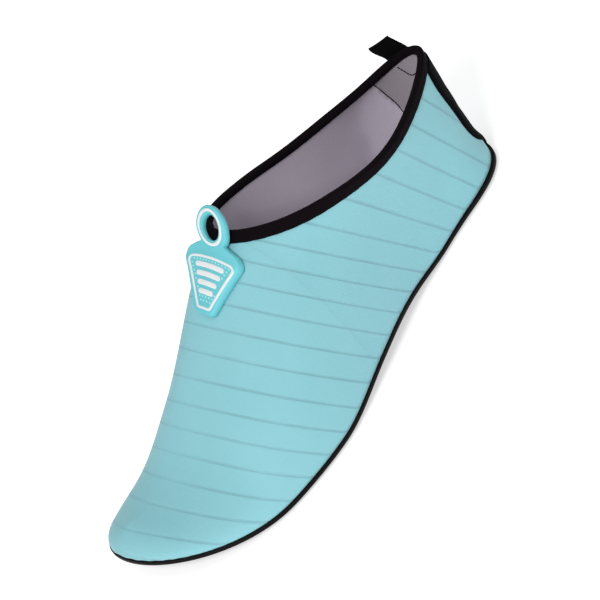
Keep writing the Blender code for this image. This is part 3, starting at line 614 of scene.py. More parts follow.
LineRow = namedtuple("LineRow", "along lean")
KNIT_LINES = (
    LineRow(0, 0.40),
    LineRow(38, 0.52),
    LineRow(62, 0.65),
    LineRow(110, 0.70),
    LineRow(160, 0.76),
    LineRow(185, 0.82),
    LineRow(215, 0.98),
)
LineCount = namedtuple("LineCount", "along number")
LINE_COUNTS = (
    LineCount(0, -1.07),
    LineCount(90, 6.31),
    LineCount(183.6, 14.0),
    LineCount(196.8, 15.0),
    LineCount(210.2, 16.0),
    LineCount(226.6, 17.0),
    LineCount(LENGTH, 18.2),
)
LINE_PITCH, LINE_SETTLE = 12.2, 8
LINE_FADE_FROM, LINE_FADE_REACH, LINE_FADE_WIDTH = 150.0, 60.0, 36.0
Crease = namedtuple("Crease", "side along up to_along to_up width depth")
CREASES = (
    Crease(1, 146, 34, 170, 12, 6.0, 0.35),
    Crease(1, 92, 50, 112, 22, 9.0, 0.35),
    Crease(1, 26, 40, 48, 18, 7.0, 0.35),
    Crease(-1, 150, 32, 172, 12, 6.0, 0.35),
    Crease(-1, 88, 48, 110, 24, 9.0, 0.40),
    Crease(-1, 24, 42, 46, 18, 7.0, 0.35),
)
CREASE_END, CREASE_SHOULDER = 0.02, 0.5
PUCKER_PITCH, PUCKER_DEPTH, PUCKER_HEIGHT, PUCKER_FROM = 7.5, 0.12, 5.0, 205.0


def reach_of(along):
    """Where the top of the section that starts at this place on the sole lies along the shoe."""
    lean = HEEL_LEAN * np.clip(1 - along / HEEL_BLEND, 0, 1) ** 2
    toe = np.clip((along - TOE_BLEND) / (LENGTH - TOE_BLEND), 0, 1) ** 2
    return along + lean - (LENGTH - RIDGE_END) * toe


def top_line(along, side):
    """The collar's edge as far as the throat, then the ridge of the instep to the toes."""
    reach = reach_of(along)
    half = through(COLLAR_ROWS, "half_width", reach)
    half = half * rounded_end(reach - HEEL_LEAN, COLLAR_BACK_ROUND, COLLAR_SQUARENESS)
    half = half * rounded_end(THROAT - reach, COLLAR_FRONT_ROUND, COLLAR_SQUARENESS)
    collar = through(COLLAR_ROWS, "centre", reach) + side * half
    front = reach >= THROAT
    across = np.where(front, through(RIDGE_ROWS, "across", reach), collar)
    ridge = through(RIDGE_ROWS, "height", reach)
    height = np.where(front, ridge, through(COLLAR_ROWS, "height", reach))
    return np.stack([reach, across, height], axis=1)


def swell(along, side):
    """How far the inner wall bulges past the sole's edge in the waist."""
    bulge = np.clip(1 - ((along - SWELL_AT) / SWELL_REACH) ** 2, 0, 1) ** 2
    return np.where(side < 0, -INSTEP_SWELL * bulge, 0)


def arch_roundness(along, side):
    """The inner side of the instep is squarer than the outer, and alike over the toes."""
    squarer = INNER_SQUARER * (1 - ease((along - INNER_SQUARER_UNTIL) / INNER_SQUARER_FADE))
    return ARCH_ROUNDNESS + np.where(side < 0, squarer, 0)


def arch_share(level, roundness):
    return (1 - level**ARCH_CROWN) ** (1 / roundness)


def arch_level(share, roundness):
    return (1 - share**roundness) ** (1 / ARCH_CROWN)


def collar_cut(along, across, girth):
    """Share of the arch that the opening cuts away: none ahead of the throat, most at the heel."""
    reach = reach_of(along)
    middle = through(COLLAR_ROWS, "centre", reach)
    beside = (reach >= COLLAR_CUT_BACK) & (reach < THROAT)
    share = (across - middle) / np.where(beside, girth - middle, LENGTH)
    cut = np.where(beside, np.clip(share, 0, COLLAR_CUT), 0)
    return np.where(reach < COLLAR_CUT_BACK, COLLAR_CUT, cut)


def section_shape(along, side, cut, levels):
    """Share of the way from the top line out to the foot's girth, for each station and level."""
    cut = cut[:, None]
    roundness = arch_roundness(along, side)[:, None]
    full = (arch_share(levels * arch_level(cut, roundness), roundness) - cut) / (1 - cut)
    climb = np.clip((levels - FLARE_FROM) / (1 - FLARE_FROM), 0, 1)
    hollow = (1 - climb) ** FLARE_POWER
    heel = ease(1 - along / FLARE_REACH)[:, None]
    return full + (hollow - full) * heel


def upper_wall(stations, levels):
    """Outer face of the upper: an array of points, by place round the shoe and by level."""
    along, side = round_the_shoe(stations)
    inset = UPPER_INSET + HEEL_INSET * ease(1 - along / HEEL_INSET_REACH)
    foot = sole_outline(stations, inset)
    top = top_line(along, side)
    bulge = swell(along, side)
    cut = collar_cut(along, top[:, 1], foot[:, 1] + bulge)
    shape = section_shape(along, side, cut, levels)
    plan = top[:, None, :2] + (foot - top[:, :2])[:, None, :] * shape[..., None]
    plan[..., 1] += bulge[:, None] * (shape - (1 - levels) ** TUCK_POWER)
    plan[..., 0] -= HEEL_LIP * ease(1 - along / LIP_REACH)[:, None] * levels**LIP_POWER
    base = seat_height(along)
    height = base[:, None] + (top[:, 2] - base)[:, None] * levels
    return np.concatenate([plan, height[..., None]], axis=2)


def upper_faces(columns, levels, back):
    """Quads of the upper's face; past the throat both halves share the ridge's points."""
    count = 2 * (columns - 1)

    def number(column, level):
        column %= count
        if level == levels - 1 and column >= columns and count - column >= back:
            column = count - column
        return column * levels + level

    for column in range(count):
        for level in range(levels - 1):
            corners = [(column, level + 1), (column + 1, level + 1), (column + 1, level), (column, level)]
            yield tuple(dict.fromkeys(number(*corner) for corner in corners))


def knit_line(points):
    """Count of knitted lines from the heel to each point of the fabric."""
    foot = points[:, 0]
    for _ in range(LINE_SETTLE):
        climb = np.maximum(points[:, 2] - seat_height(foot), 0)
        foot = points[:, 0] - through(KNIT_LINES, "lean", foot) * climb
    return through(LINE_COUNTS, "number", foot)


def crease_depth(points, middle):
    """How far the soft creases and the puckers at the toe move each point of the fabric outward."""
    move = np.zeros(len(points))
    side = np.sign(points[:, 1] - middle)
    for crease in CREASES:
        start = np.array([crease.along, crease.up])
        run = np.array([crease.to_along, crease.to_up]) - start
        away = points[:, [0, 2]] - start
        part = np.clip(away @ run / (run @ run), 0, 1)
        aside = np.hypot(*(away - part[:, None] * run).T)
        fade = np.sin(math.pi * np.clip(part, CREASE_END, 1 - CREASE_END))
        narrow, wide = (np.exp(-((aside / reach) ** 2)) for reach in (crease.width, 2 * crease.width))
        trough = narrow - CREASE_SHOULDER * wide
        move -= np.where(side == crease.side, crease.depth * fade * trough, 0)
    low = np.exp(-((points[:, 2] - seat_height(points[:, 0])) / PUCKER_HEIGHT))
    front = ease((points[:, 0] - PUCKER_FROM) / (LENGTH - PUCKER_FROM))
    ripple = np.sin(2 * math.pi * (points[:, 1] - points[:, 0]) / PUCKER_PITCH)
    return move + PUCKER_DEPTH * front * low * ripple


level_spread = np.sin(np.linspace(0, math.pi / 2, UPPER_LEVELS))
upper_levels = np.sort(np.concatenate([level_spread, [FLARE_FROM / 2, FLARE_FROM]]))
upper_stations = make_stations(UPPER_FINER)
upper_grid = upper_wall(upper_stations, upper_levels)
back_count = SHAPE_STATIONS * UPPER_FINER
face_list = list(upper_faces(len(upper_stations), len(upper_levels), back_count))
used_points = np.unique([corner for face in face_list for corner in face])
renumber = {corner: i for i, corner in enumerate(used_points)}
face_list = [tuple(renumber[corner] for corner in face) for face in face_list]
upper_points = upper_grid.reshape(-1, 3)[used_points]
down_grid = upper_grid[:, ::-1]
girth_steps = np.linalg.norm(np.diff(down_grid, axis=1, prepend=down_grid[:, :1]), axis=2)
girth = np.cumsum(girth_steps, axis=1)[:, ::-1].reshape(-1)[used_points]

middle_line = through(SOLE_ROWS, "centre", upper_points[:, 0])
wall_tree = BVHTree.FromPolygons(upper_points.tolist(), face_list)
normals = np.array([wall_tree.find_nearest(Vector(point))[1] for point in upper_points.tolist()])
upper_points = upper_points + normals * crease_depth(upper_points, middle_line)[:, None]
wall_tree = BVHTree.FromPolygons(upper_points.tolist(), face_list)

AQUA, AQUA_DEEP = (0.28, 0.595, 0.655, 1), (0.245, 0.555, 0.62, 1)
LINE_COLOUR = (0.22, 0.47, 0.53, 1)
FABRIC_FINISH = cloth_finish(roughness=0.8, sheen=0.22, sheen_roughness=0.45, gloss=0.3)
CLOTH_CLOUD = Cloud(45.0, 3.0)
LINE_HALF, LINE_EDGE, LINE_DEPTH = 0.014, 0.062, 0.00025
LINE_PATCH, PATCH_CLOUD = (0.35, 1.0), (0.3, 0.6)
KNIT_PITCH, KNIT_WOBBLE, KNIT_DEPTH = 0.75, 0.4, 0.00005
WAVE_RUN = math.pi / 10


def read_numbers(material, name, output="Fac"):
    """What the points of a piece carry under a name."""
    return node(material, "Attribute", {}, attribute_name=name).outputs[output]


def combine(material, operation, first, second):
    return node(material, "Math", {0: first, 1: second}, operation=operation).outputs["Value"]


def cloth_ribs(material, direction, pitch, wobble=0.0):
    """Soft ribs, a pitch apart in one direction of the cloth; they are WAVE_RUN apart at a scale of 1."""
    place = read_numbers(material, "cloth", "Vector")
    inputs = {"Vector": place, "Scale": WAVE_RUN / pitch, "Distortion": wobble}
    return node(material, "TexWave", inputs, bands_direction=direction).outputs["Fac"]


aqua_fabric, shader = start_material("aqua_fabric", FABRIC_FINISH)
fabric_cloud = noise(aqua_fabric, *CLOTH_CLOUD)
nearest_line = combine(aqua_fabric, "PINGPONG", read_numbers(aqua_fabric, "knit_line"), 0.5)
on_line = spread(aqua_fabric, nearest_line, 1, 0, LINE_HALF, LINE_HALF + LINE_EDGE)
line_patch = spread(aqua_fabric, fabric_cloud, *LINE_PATCH, *PATCH_CLOUD)
line_seen = combine(aqua_fabric, "MULTIPLY", on_line, line_patch)
line_share = combine(aqua_fabric, "MULTIPLY", line_seen, read_numbers(aqua_fabric, "line_show"))
ground = blend(aqua_fabric, fabric_cloud, AQUA, AQUA_DEEP)
wales, courses = (cloth_ribs(aqua_fabric, direction, KNIT_PITCH, KNIT_WOBBLE) for direction in "XY")
knit_bump = bump(aqua_fabric, combine(aqua_fabric, "MULTIPLY", wales, courses), KNIT_DEPTH)
fleck_bump = bump(aqua_fabric, noise(aqua_fabric, CLOTH_CELLS), KNIT_DEPTH, knit_bump)
connect(
    aqua_fabric,
    shader,
    Base_Color=blend(aqua_fabric, line_share, ground, LINE_COLOUR),
    Normal=bump(aqua_fabric, spread(aqua_fabric, on_line, 1, 0), LINE_DEPTH, fleck_bump),
)


def set_numbers(piece, name, kind, values):
    """Numbers for each point of a piece, which its material reads by name."""
    field = "vector" if kind == "FLOAT_VECTOR" else "value"
    attribute = piece.data.attributes.new(name, kind, "POINT")
    attribute.data.foreach_set(field, np.asarray(values, np.float32).ravel())


def add_thickness(piece, lift, thickness):
    """Moves a sheet along its normals, then thickens it inward; both in millimetres."""
    if lift:
        shift = piece.modifiers.new("lift", "DISPLACE")
        shift.strength, shift.mid_level = lift * MM, 0
    wall = piece.modifiers.new("wall", "SOLIDIFY")
    wall.thickness, wall.offset = thickness * MM, -1


upper_fabric = make_piece("upper_fabric", upper_points, face_list, aqua_fabric, "aqua_fabric", ["upper"])
line_number = knit_line(upper_points)
set_numbers(upper_fabric, "knit_line", "FLOAT", line_number)
over_toes = ease((upper_points[:, 0] - LINE_FADE_FROM) / LINE_FADE_REACH)
set_numbers(upper_fabric, "line_show", "FLOAT", 1 - over_toes * (1 - ease(girth / LINE_FADE_WIDTH)))
cloth_places = np.column_stack([girth, line_number * LINE_PITCH, np.zeros(len(girth))])
set_numbers(upper_fabric, "cloth", "FLOAT_VECTOR", cloth_places)
add_thickness(upper_fabric, 0, FABRIC_THICKNESS)


# Lining: grey brushed knit bonded to the inside of the aqua fabric, with a darker pocket round the heel.
# Black thread joins the pocket and holds the foot of the heel tab.
# Both lining greys are painted far lighter than the knit's own grey: painted light that makes up for the
# shade inside the shoe.
LIT_LINING_COLOUR, LIT_LINING_SHADE = (0.73, 0.66, 0.765, 1), (0.68, 0.615, 0.715, 1)
LINING_FINISH = cloth_finish(roughness=0.95, sheen=0.3, sheen_roughness=0.5, gloss=0.2)
POCKET_COLOUR = (0.40, 0.36, 0.40, 1)
POCKET_TOP, POCKET_FALL, POCKET_EDGE = 21.5, 0.26, 0.8
grey_lining, shader = start_material("grey_lining", LINING_FINISH)
lining_ground = blend(grey_lining, noise(grey_lining, *CLOTH_CLOUD), LIT_LINING_SHADE, LIT_LINING_COLOUR)
connect(
    grey_lining,
    shader,
    Base_Color=blend(grey_lining, read_numbers(grey_lining, "pocket"), lining_ground, POCKET_COLOUR),
    Normal=bump(grey_lining, noise(grey_lining, CLOTH_CELLS), CLOTH_GRAIN_DEPTH),
)
lining = make_piece("lining", upper_points, face_list, grey_lining, "grey_foam")
pocket_line = POCKET_TOP - POCKET_FALL * (COLLAR_ROWS[0].height - upper_points[:, 2])
set_numbers(lining, "pocket", "FLOAT", 1 - ease((upper_points[:, 0] - pocket_line) / POCKET_EDGE + 0.5))
add_thickness(lining, -FABRIC_THICKNESS, UPPER_WALL - FABRIC_THICKNESS)

THREAD_COLOUR, THREAD_FINISH = (0.003, 0.0025, 0.003, 1), {"Roughness": 0.85, "Specular IOR Level": 0.1}
THREAD_RADIUS, STITCH_LENGTH, STITCH_PITCH, STITCH_SIDES = 0.3, 2.0, 2.3, 6
SpindleRow = namedtuple("SpindleRow", "part swell")
STITCH_SHAPE = (
    SpindleRow(-1.0, 0.15),
    SpindleRow(-0.75, 0.75),
    SpindleRow(0.0, 1.0),
    SpindleRow(0.75, 0.75),
    SpindleRow(1.0, 0.15),
)
black_thread = flecked("black_thread", THREAD_FINISH, (THREAD_COLOUR, RUBBER_COLOUR), KNIT_DEPTH)


def run_along(line):
    """Distance from a line's first point to each of its points."""
    return np.concatenate([[0], np.cumsum(np.linalg.norm(np.diff(line, axis=0), axis=1))])


def read_line(line, run, places):
    """Points of a line at distances along it."""
    return np.stack([np.interp(places, run, line[:, axis]) for axis in range(3)], axis=-1)


def ring_faces(rings, sides, closed=False):
    """Faces between rings of points in a row, which is capped at both ends or closes on itself."""
    faces = []
    for ring in range(rings if closed else rings - 1):
        low, high = ring * sides, (ring + 1) % rings * sides
        pairs = [(i, (i + 1) % sides) for i in range(sides)]
        faces += [(low + i, low + j, high + j, high + i) for i, j in pairs]
    if not closed:
        faces += [tuple(range(sides)), tuple(range((rings - 1) * sides, rings * sides))]
    return faces


def stitch_row(line, outward, sink, pitch=STITCH_PITCH):
    """Points and faces of each stitch of thread along a line on a surface, sunk a little into it."""
    run = run_along(line)
    count = max(int(run[-1] / pitch), 1)
    stitches = []
    for i in range(count):
        ends = (i + 0.5) * run[-1] / count + np.array([-0.5, 0.5]) * STITCH_LENGTH
        tail, head = read_line(line, run, ends)
        up = unit(read_line(outward, run, ends.mean()))
        aside = unit(np.cross(head - tail, up))
        points = []
        for part, swollen in STITCH_SHAPE:
            centre = (tail + head) / 2 + (head - tail) / 2 * part
            centre = centre + up * (THREAD_RADIUS * (swollen - 1) - sink)
            for turn in np.linspace(0, 2 * math.pi, STITCH_SIDES, endpoint=False):
                spoke = math.cos(turn) * aside + math.sin(turn) * up
                points.append(centre + THREAD_RADIUS * swollen * spoke)
        stitches.append((points, ring_faces(len(STITCH_SHAPE), STITCH_SIDES)))
    return stitches


def join_parts(parts):
    """Several small shapes as one set of points and faces."""
    points, faces = [], []
    for part_points, part_faces in parts:
        faces += [tuple(corner + len(points) for corner in face) for face in part_faces]
        points += list(part_points)
    return points, faces


def on_wall(places, depth):
    """Places on the upper, moved the given depth inward, with the normals there."""
    found = [wall_tree.find_nearest(Vector(place)) for place in places]
    spots = np.array([hit[0] for hit in found])
    outward = np.array([hit[1] for hit in found])
    return spots - depth * outward, outward


def between_points(corners, steps):
    """Points on the straight lines from each corner to the next."""
    corners = np.array(corners, float)
    pairs = zip(corners[:-1], corners[1:])
    runs = [np.linspace(here, there, steps, endpoint=False) for here, there in pairs]
    return np.concatenate([*runs, corners[-1:]])


THREAD_PROUD, SEAM_STEPS, LOCKED_PITCH = 0.1, 16, 1.6
SeamCorner = namedtuple("SeamCorner", "along across up")
POCKET_SEAM = (
    SeamCorner(21.5, 13.5, 58.4),
    SeamCorner(18.5, 15.4, 49.0),
    SeamCorner(16.3, 15.4, 41.0),
    SeamCorner(14.5, 16.5, 30.0),
    SeamCorner(13.0, 18.0, 16.0),
)
TAB_SEAM = (
    SeamCorner(11.2, -6.3, 60.0),
    SeamCorner(8.8, -4.6, 52.4),
    SeamCorner(6.8, -1.8, 53.2),
    SeamCorner(6.0, 4.0, 56.0),
)
inner_seam = [(along, -across, up) for along, across, up in POCKET_SEAM]
lining_stitches = []
for corners in (POCKET_SEAM, inner_seam, TAB_SEAM):
    line, outward = on_wall(between_points(corners, SEAM_STEPS), UPPER_WALL + THREAD_PROUD)
    lining_stitches += stitch_row(line, -outward, 0, LOCKED_PITCH)
make_piece("lining_stitches", *join_parts(lining_stitches), black_thread, "black_webbing")


# Heel panel: an even strip of black neoprene sewn over the back of the heel, a little wider below the
# collar. Its skived edges lie flat on the fabric with a row of stitches each, and it folds softly.
PANEL_THICKNESS, PANEL_LIFT, PANEL_EDGE, PANEL_SKIVE = 1.3, 0.08, 2.4, 0.3
PanelRow = namedtuple("PanelRow", "along half_width")
PANEL_ROWS = (
    PanelRow(0.015, 12.6),
    PanelRow(0.11, 12.4),
    PanelRow(0.25, 12.4),
    PanelRow(0.50, 12.3),
    PanelRow(0.80, 14.0),
    PanelRow(1.00, 12.5),
)
PANEL_COLUMNS, PANEL_LEVELS = 44, 60
PANEL_TOP_GAP = 3.0
FOLD_HEIGHTS, FOLD_REACH, FOLD_DEPTH = (17.0, 31.0, 44.0), 3.2, 0.15
PANEL_STITCH_IN, PANEL_STITCH_FROM = 1.6, 3

panel_tall = COLLAR_ROWS[0].height - seat_height(0.0)
panel_levels = np.linspace(PANEL_ROWS[0].along, 1 - PANEL_TOP_GAP / panel_tall, PANEL_LEVELS)
round_heel = upper_wall(upper_stations, panel_levels)
heel_reach = len(round_heel) // 4
heel_strip = np.concatenate([round_heel[-heel_reach:], round_heel[: heel_reach + 1]])
panel_grid, panel_border = [], []
for row, level in enumerate(panel_levels):
    line = heel_strip[:, row]
    run = run_along(line)
    half = float(through(PANEL_ROWS, "half_width", level))
    aside = half * np.linspace(-1, 1, PANEL_COLUMNS + 1)
    panel_grid.append(read_line(line, run, run[heel_reach] + aside))
    foot = (level - panel_levels[0]) * panel_tall
    panel_border.append(np.minimum(half - np.abs(aside), foot))
panel_places = np.array(panel_grid).reshape(-1, 3)
panel_border = np.array(panel_border).ravel()
panel_round = PANEL_SKIVE + (PANEL_THICKNESS - PANEL_SKIVE) * np.sqrt(ease(panel_border / PANEL_EDGE))
panel_spots, panel_out = on_wall(panel_places, 0)
folds = sum(np.exp(-(((panel_spots[:, 2] - height) / FOLD_REACH) ** 2)) for height in FOLD_HEIGHTS)
panel_round = panel_round - FOLD_DEPTH * folds * ease(panel_border / PANEL_EDGE / 2)
panel_under = panel_spots + PANEL_LIFT * panel_out
panel_over = panel_spots + (PANEL_LIFT + panel_round)[:, None] * panel_out


def strip_faces(rows, columns):
    """Faces of a closed strip made of an under and an over grid of points."""
    count = rows * columns
    faces = [
        (corner, corner + 1, corner + columns + 1, corner + columns)
        for start in (0, count)
        for row in range(rows - 1)
        for corner in range(start + row * columns, start + (row + 1) * columns - 1)
    ]
    border = [*range(columns), *range(2 * columns - 1, count, columns)]
    border += [*range(count - 2, count - columns - 1, -1), *range(count - 2 * columns, 0, -columns)]
    pairs = zip(border[-1:] + border[:-1], border)
    return faces + [(before, after, after + count, before + count) for before, after in pairs]


NEOPRENE_COLOUR, NEOPRENE_SHEEN = (0.0016, 0.0018, 0.0024, 1), (0.0034, 0.0036, 0.0046, 1)
NEOPRENE_FINISH = cloth_finish(roughness=0.9, sheen=0.01, sheen_roughness=0.4, gloss=0.04)
NEOPRENE_GRAIN_DEPTH = 0.00012
black_neoprene = flecked(
    "black_neoprene", NEOPRENE_FINISH, (NEOPRENE_COLOUR, NEOPRENE_SHEEN), NEOPRENE_GRAIN_DEPTH
)
make_piece(
    "heel_panel_neoprene",
    np.concatenate([panel_under, panel_over]),
    strip_faces(PANEL_LEVELS, PANEL_COLUMNS + 1),
    black_neoprene,
    "black_neoprene",
    ["heel_panel"],
)
panel_side = round(PANEL_COLUMNS * PANEL_STITCH_IN / 2 / PANEL_ROWS[2].half_width)
panel_face = panel_over.reshape(PANEL_LEVELS, PANEL_COLUMNS + 1, 3)[PANEL_STITCH_FROM:]
panel_normal = panel_out.reshape(PANEL_LEVELS, PANEL_COLUMNS + 1, 3)[PANEL_STITCH_FROM:]
panel_stitches = []
for column in (panel_side, PANEL_COLUMNS - panel_side):
    panel_stitches += stitch_row(panel_face[:, column], panel_normal[:, column], THREAD_RADIUS / 2)
make_piece("heel_panel_stitches", *join_parts(panel_stitches), black_thread, "black_webbing")


# Collar binding: soft black elastic tape folded over the raw edge of upper and lining and sewn through.
# It pulls in a little between the stitches, so its lower edge is slightly wavy.
BINDING_TAPE, BINDING_LIFT, BINDING_INNER_LIFT = 0.7, 0.1, 0.3
BINDING_OUTSIDE, BINDING_INSIDE, BINDING_FRONT = 3.4, 1.6, 1.3
BINDING_CREST, CREST_SQUARENESS, BINDING_TUCK = 1.25, 0.7, 0.1
BINDING_EDGE_AT, OUTSIDE_EDGE_THIN, INSIDE_EDGE_THIN = 0.94, 0.75, 0.5
LEG_STEPS, CREST_STEPS = 7, 9
WAVE_PITCH, WAVE_DEPTH, WAVE_SHIFT = 6.5, 0.06, 1.0
BINDING_STITCH_IN = 1.3

collar_columns = [*range(back_count + 1), *range(len(upper_grid) - back_count + 1, len(upper_grid))]
collar_edge = upper_grid[collar_columns, -1]
collar_ahead = ahead_round(collar_edge)
collar_run = np.cumsum(np.linalg.norm(np.diff(collar_edge, axis=0, prepend=collar_edge[-1:]), axis=1))
_, collar_out = on_wall(collar_edge, 0)
collar_down = unit(np.cross(collar_out, collar_ahead))
collar_front = ease((collar_edge[:, 0] - COLLAR_CUT_BACK) / (THROAT - COLLAR_CUT_BACK))
wave_turn = 2 * math.pi * collar_run / WAVE_PITCH
outside_reach = BINDING_OUTSIDE + BINDING_FRONT * collar_front + WAVE_DEPTH * np.sin(wave_turn)
inside_reach = BINDING_INSIDE + WAVE_DEPTH * np.sin(wave_turn + WAVE_SHIFT)


def leg_points(reach, part, depth):
    """Points down one leg of the tape, at a part of its reach and a depth below the fabric's face."""
    spots, outward = on_wall(collar_edge + (reach * part)[:, None] * collar_down, 0)
    return spots - depth * unit(outward + collar_out * (1 - part))


tape_out = -(BINDING_LIFT + BINDING_TAPE)
tape_in = UPPER_WALL + BINDING_INNER_LIFT + BINDING_TAPE
edge_out, edge_in = -BINDING_LIFT / 2, UPPER_WALL + BINDING_LIFT / 2
thin_out = OUTSIDE_EDGE_THIN * tape_out
thin_in = UPPER_WALL + BINDING_INNER_LIFT + INSIDE_EDGE_THIN * BINDING_TAPE
leg_parts = [BINDING_EDGE_AT, *np.linspace(1, 0, LEG_STEPS)[1:]]
binding_rows = [leg_points(outside_reach, 1.0, depth) for depth in (edge_out, thin_out)]
binding_rows += [leg_points(outside_reach, part, tape_out) for part in leg_parts]
crest_half = (tape_in - tape_out) / 2
for turn in np.linspace(0, math.pi, CREST_STEPS)[1:-1]:
    depth = UPPER_WALL / 2 - crest_half * math.cos(turn)
    height = BINDING_CREST * math.sin(turn) ** CREST_SQUARENESS
    binding_rows.append(collar_edge - depth * collar_out - height * collar_down)
binding_rows += [leg_points(inside_reach, part, tape_in) for part in leg_parts[::-1]]
binding_rows += [leg_points(inside_reach, 1.0, depth) for depth in (thin_in, edge_in)]
for reach, depth in ((inside_reach, edge_in), (outside_reach, edge_out)):
    binding_rows.append(leg_points(reach, 0.0, depth) - BINDING_TUCK * collar_down)
binding_section = np.stack(binding_rows, axis=1)

TAPE_COLOUR, TAPE_FACE = (0.0032, 0.0020, 0.0032, 1), (0.0075, 0.0045, 0.0068, 1)
TAPE_FINISH = cloth_finish(roughness=0.9, sheen=0.015, sheen_roughness=0.45, gloss=0.04)
TAPE_RIB_PITCH, TAPE_RIB_DEPTH, TAPE_WOBBLE = 1.1, 0.0001, 0.6
black_tape, shader = start_material("black_tape", TAPE_FINISH)
tape_ribs = cloth_ribs(black_tape, "X", TAPE_RIB_PITCH, TAPE_WOBBLE)
tape_fleck = noise(black_tape, CLOTH_CELLS)
connect(
    black_tape,
    shader,
    Base_Color=blend(black_tape, tape_fleck, TAPE_COLOUR, TAPE_FACE),
    Normal=bump(black_tape, tape_ribs, TAPE_RIB_DEPTH, bump(black_tape, tape_fleck, CLOTH_GRAIN_DEPTH)),
)
collar_binding = make_piece(
    "collar_binding_tape",
    binding_section.reshape(-1, 3),
    ring_faces(*binding_section.shape[:2], closed=True),
    black_tape,
    "black_tape",
    ["collar_binding"],
)
section_steps = np.linalg.norm(np.diff(binding_section, axis=1, prepend=binding_section[:, :1]), axis=2)
tape_across = np.cumsum(section_steps, axis=1)
tape_along = np.broadcast_to(collar_run[:, None], tape_across.shape)
tape_cloth = np.stack([tape_along, tape_across, np.zeros_like(tape_across)], axis=2)
set_numbers(collar_binding, "cloth", "FLOAT_VECTOR", tape_cloth)
stitch_part = 1 - BINDING_STITCH_IN / BINDING_OUTSIDE
binding_stitches = []
for reach, depth, facing in ((outside_reach, tape_out, 1), (inside_reach, tape_in, -1)):
    line = leg_points(reach, stitch_part, depth)
    line = np.concatenate([line, line[:1]])
    outward = np.concatenate([collar_out, collar_out[:1]]) * facing
    binding_stitches += stitch_row(line, outward, THREAD_RADIUS / 2)
make_piece("binding_stitches", *join_parts(binding_stitches), black_thread, "black_webbing")


# Heel tab: a short length of black ribbed webbing, doubled, pressed flat and sewn in behind the collar
# on the inner side. It leans in over the opening and is a little skewed from being pulled.
TAB_WIDTH, TAB_LAYER, TAB_SLIT = 10.0, 0.85, 0.2
TAB_FROM_BACK = 9.8
TAB_DOWN, TAB_UP, TAB_LEAN = 4.6, 9.9, math.radians(15)
TAB_OUT = 2.75
TAB_STEPS, TAB_COLUMNS, TAB_FOLD_STEPS = 22, 14, 6
TAB_SKEW, TAB_BOW, TAB_SELVEDGE, TAB_SELVEDGE_FROM = -3.2, 0.5, 0.72, 0.8

tab_run = np.cumsum(np.linalg.norm(np.diff(collar_edge[::-1], axis=0, prepend=collar_edge[:1]), axis=1))
tab_spot = len(collar_edge) - 1 - int(np.argmin(np.abs(tab_run - TAB_FROM_BACK)))
tab_radius = TAB_UP / 2


def tab_path(part):
    """Place and direction of the tab's middle line: out from the collar, and up from its edge."""
    up = -TAB_DOWN + (TAB_UP + TAB_DOWN) * part
    climb = max(up - BINDING_CREST, 0)
    turn = min(climb / tab_radius, math.sin(TAB_LEAN))
    lean = math.asin(turn)
    rest = max(climb - tab_radius * math.sin(TAB_LEAN), 0)
    out = TAB_OUT - tab_radius * (1 - math.cos(lean)) - rest * math.tan(TAB_LEAN)
    return np.array([out, up]), np.array([-math.sin(lean), math.cos(lean)])


tab_half = TAB_LAYER + TAB_SLIT / 2
tab_lines = [tab_path(part) for part in np.linspace(0, 1, TAB_STEPS)]


def beside_tab(aside):
    """A line at a distance outward from the tab's middle line."""
    return [place + aside * np.array([ahead[1], -ahead[0]]) for place, ahead in tab_lines]


tip, tip_ahead = tab_lines[-1]
tip_side = np.array([tip_ahead[1], -tip_ahead[0]])
tab_outline = beside_tab(tab_half)
for turn in np.linspace(0, math.pi, TAB_FOLD_STEPS)[1:-1]:
    tab_outline.append(tip + tab_half * (math.cos(turn) * tip_side + math.sin(turn) * tip_ahead))
tab_outline += beside_tab(-tab_half)[::-1] + beside_tab(-TAB_SLIT / 2) + beside_tab(TAB_SLIT / 2)[::-1]
tab_middle = np.array([place for place, _ in tab_lines])
tab_points, tab_cloth = [], []
for share in np.linspace(-1, 1, TAB_COLUMNS + 1):
    selvedge = ease((abs(share) - TAB_SELVEDGE_FROM) / (1 - TAB_SELVEDGE_FROM))
    thin = 1 - (1 - TAB_SELVEDGE) * selvedge
    for out, up in tab_outline:
        middle_out = np.interp(up, tab_middle[:, 1], tab_middle[:, 0])
        climb = ease((up + TAB_DOWN) / (TAB_UP + TAB_DOWN))
        local_out = middle_out + (out - middle_out) * thin + TAB_BOW * share**2 * climb
        aside = TAB_WIDTH / 2 * share + TAB_SKEW * climb
        tab_points.append(
            collar_edge[tab_spot]
            + local_out * collar_out[tab_spot]
            - up * collar_down[tab_spot]
            + aside * collar_ahead[tab_spot]
        )
        tab_cloth.append((TAB_WIDTH / 2 * share, up, 0))

# The crests of the ribs are painted lighter than the webbing's own black: a painted highlight that
# follows the ribs of the bump.
WEBBING_COLOUR, WEBBING_LIT_RIDGE = (0.0010, 0.0010, 0.0014, 1), (0.0034, 0.0032, 0.0042, 1)
WEBBING_FINISH = cloth_finish(roughness=0.85, sheen=0.01, sheen_roughness=0.4, gloss=0.05)
WEBBING_RIB_PITCH, WEBBING_RIB_DEPTH = 1.0, 0.00035
black_webbing, shader = start_material("black_webbing", WEBBING_FINISH)
webbing_ribs = cloth_ribs(black_webbing, "Y", WEBBING_RIB_PITCH)
webbing_grain = bump(black_webbing, noise(black_webbing, CLOTH_CELLS), CLOTH_GRAIN_DEPTH)
connect(
    black_webbing,
    shader,
    Base_Color=blend(black_webbing, webbing_ribs, WEBBING_COLOUR, WEBBING_LIT_RIDGE),
    Normal=bump(black_webbing, webbing_ribs, WEBBING_RIB_DEPTH, webbing_grain),
)
heel_tab = make_piece(
    "heel_tab_webbing",
    tab_points,
    ring_faces(TAB_COLUMNS + 1, len(tab_outline)),
    black_webbing,
    "black_webbing",
    ["heel_tab"],
)
set_numbers(heel_tab, "cloth", "FLOAT_VECTOR", tab_cloth)


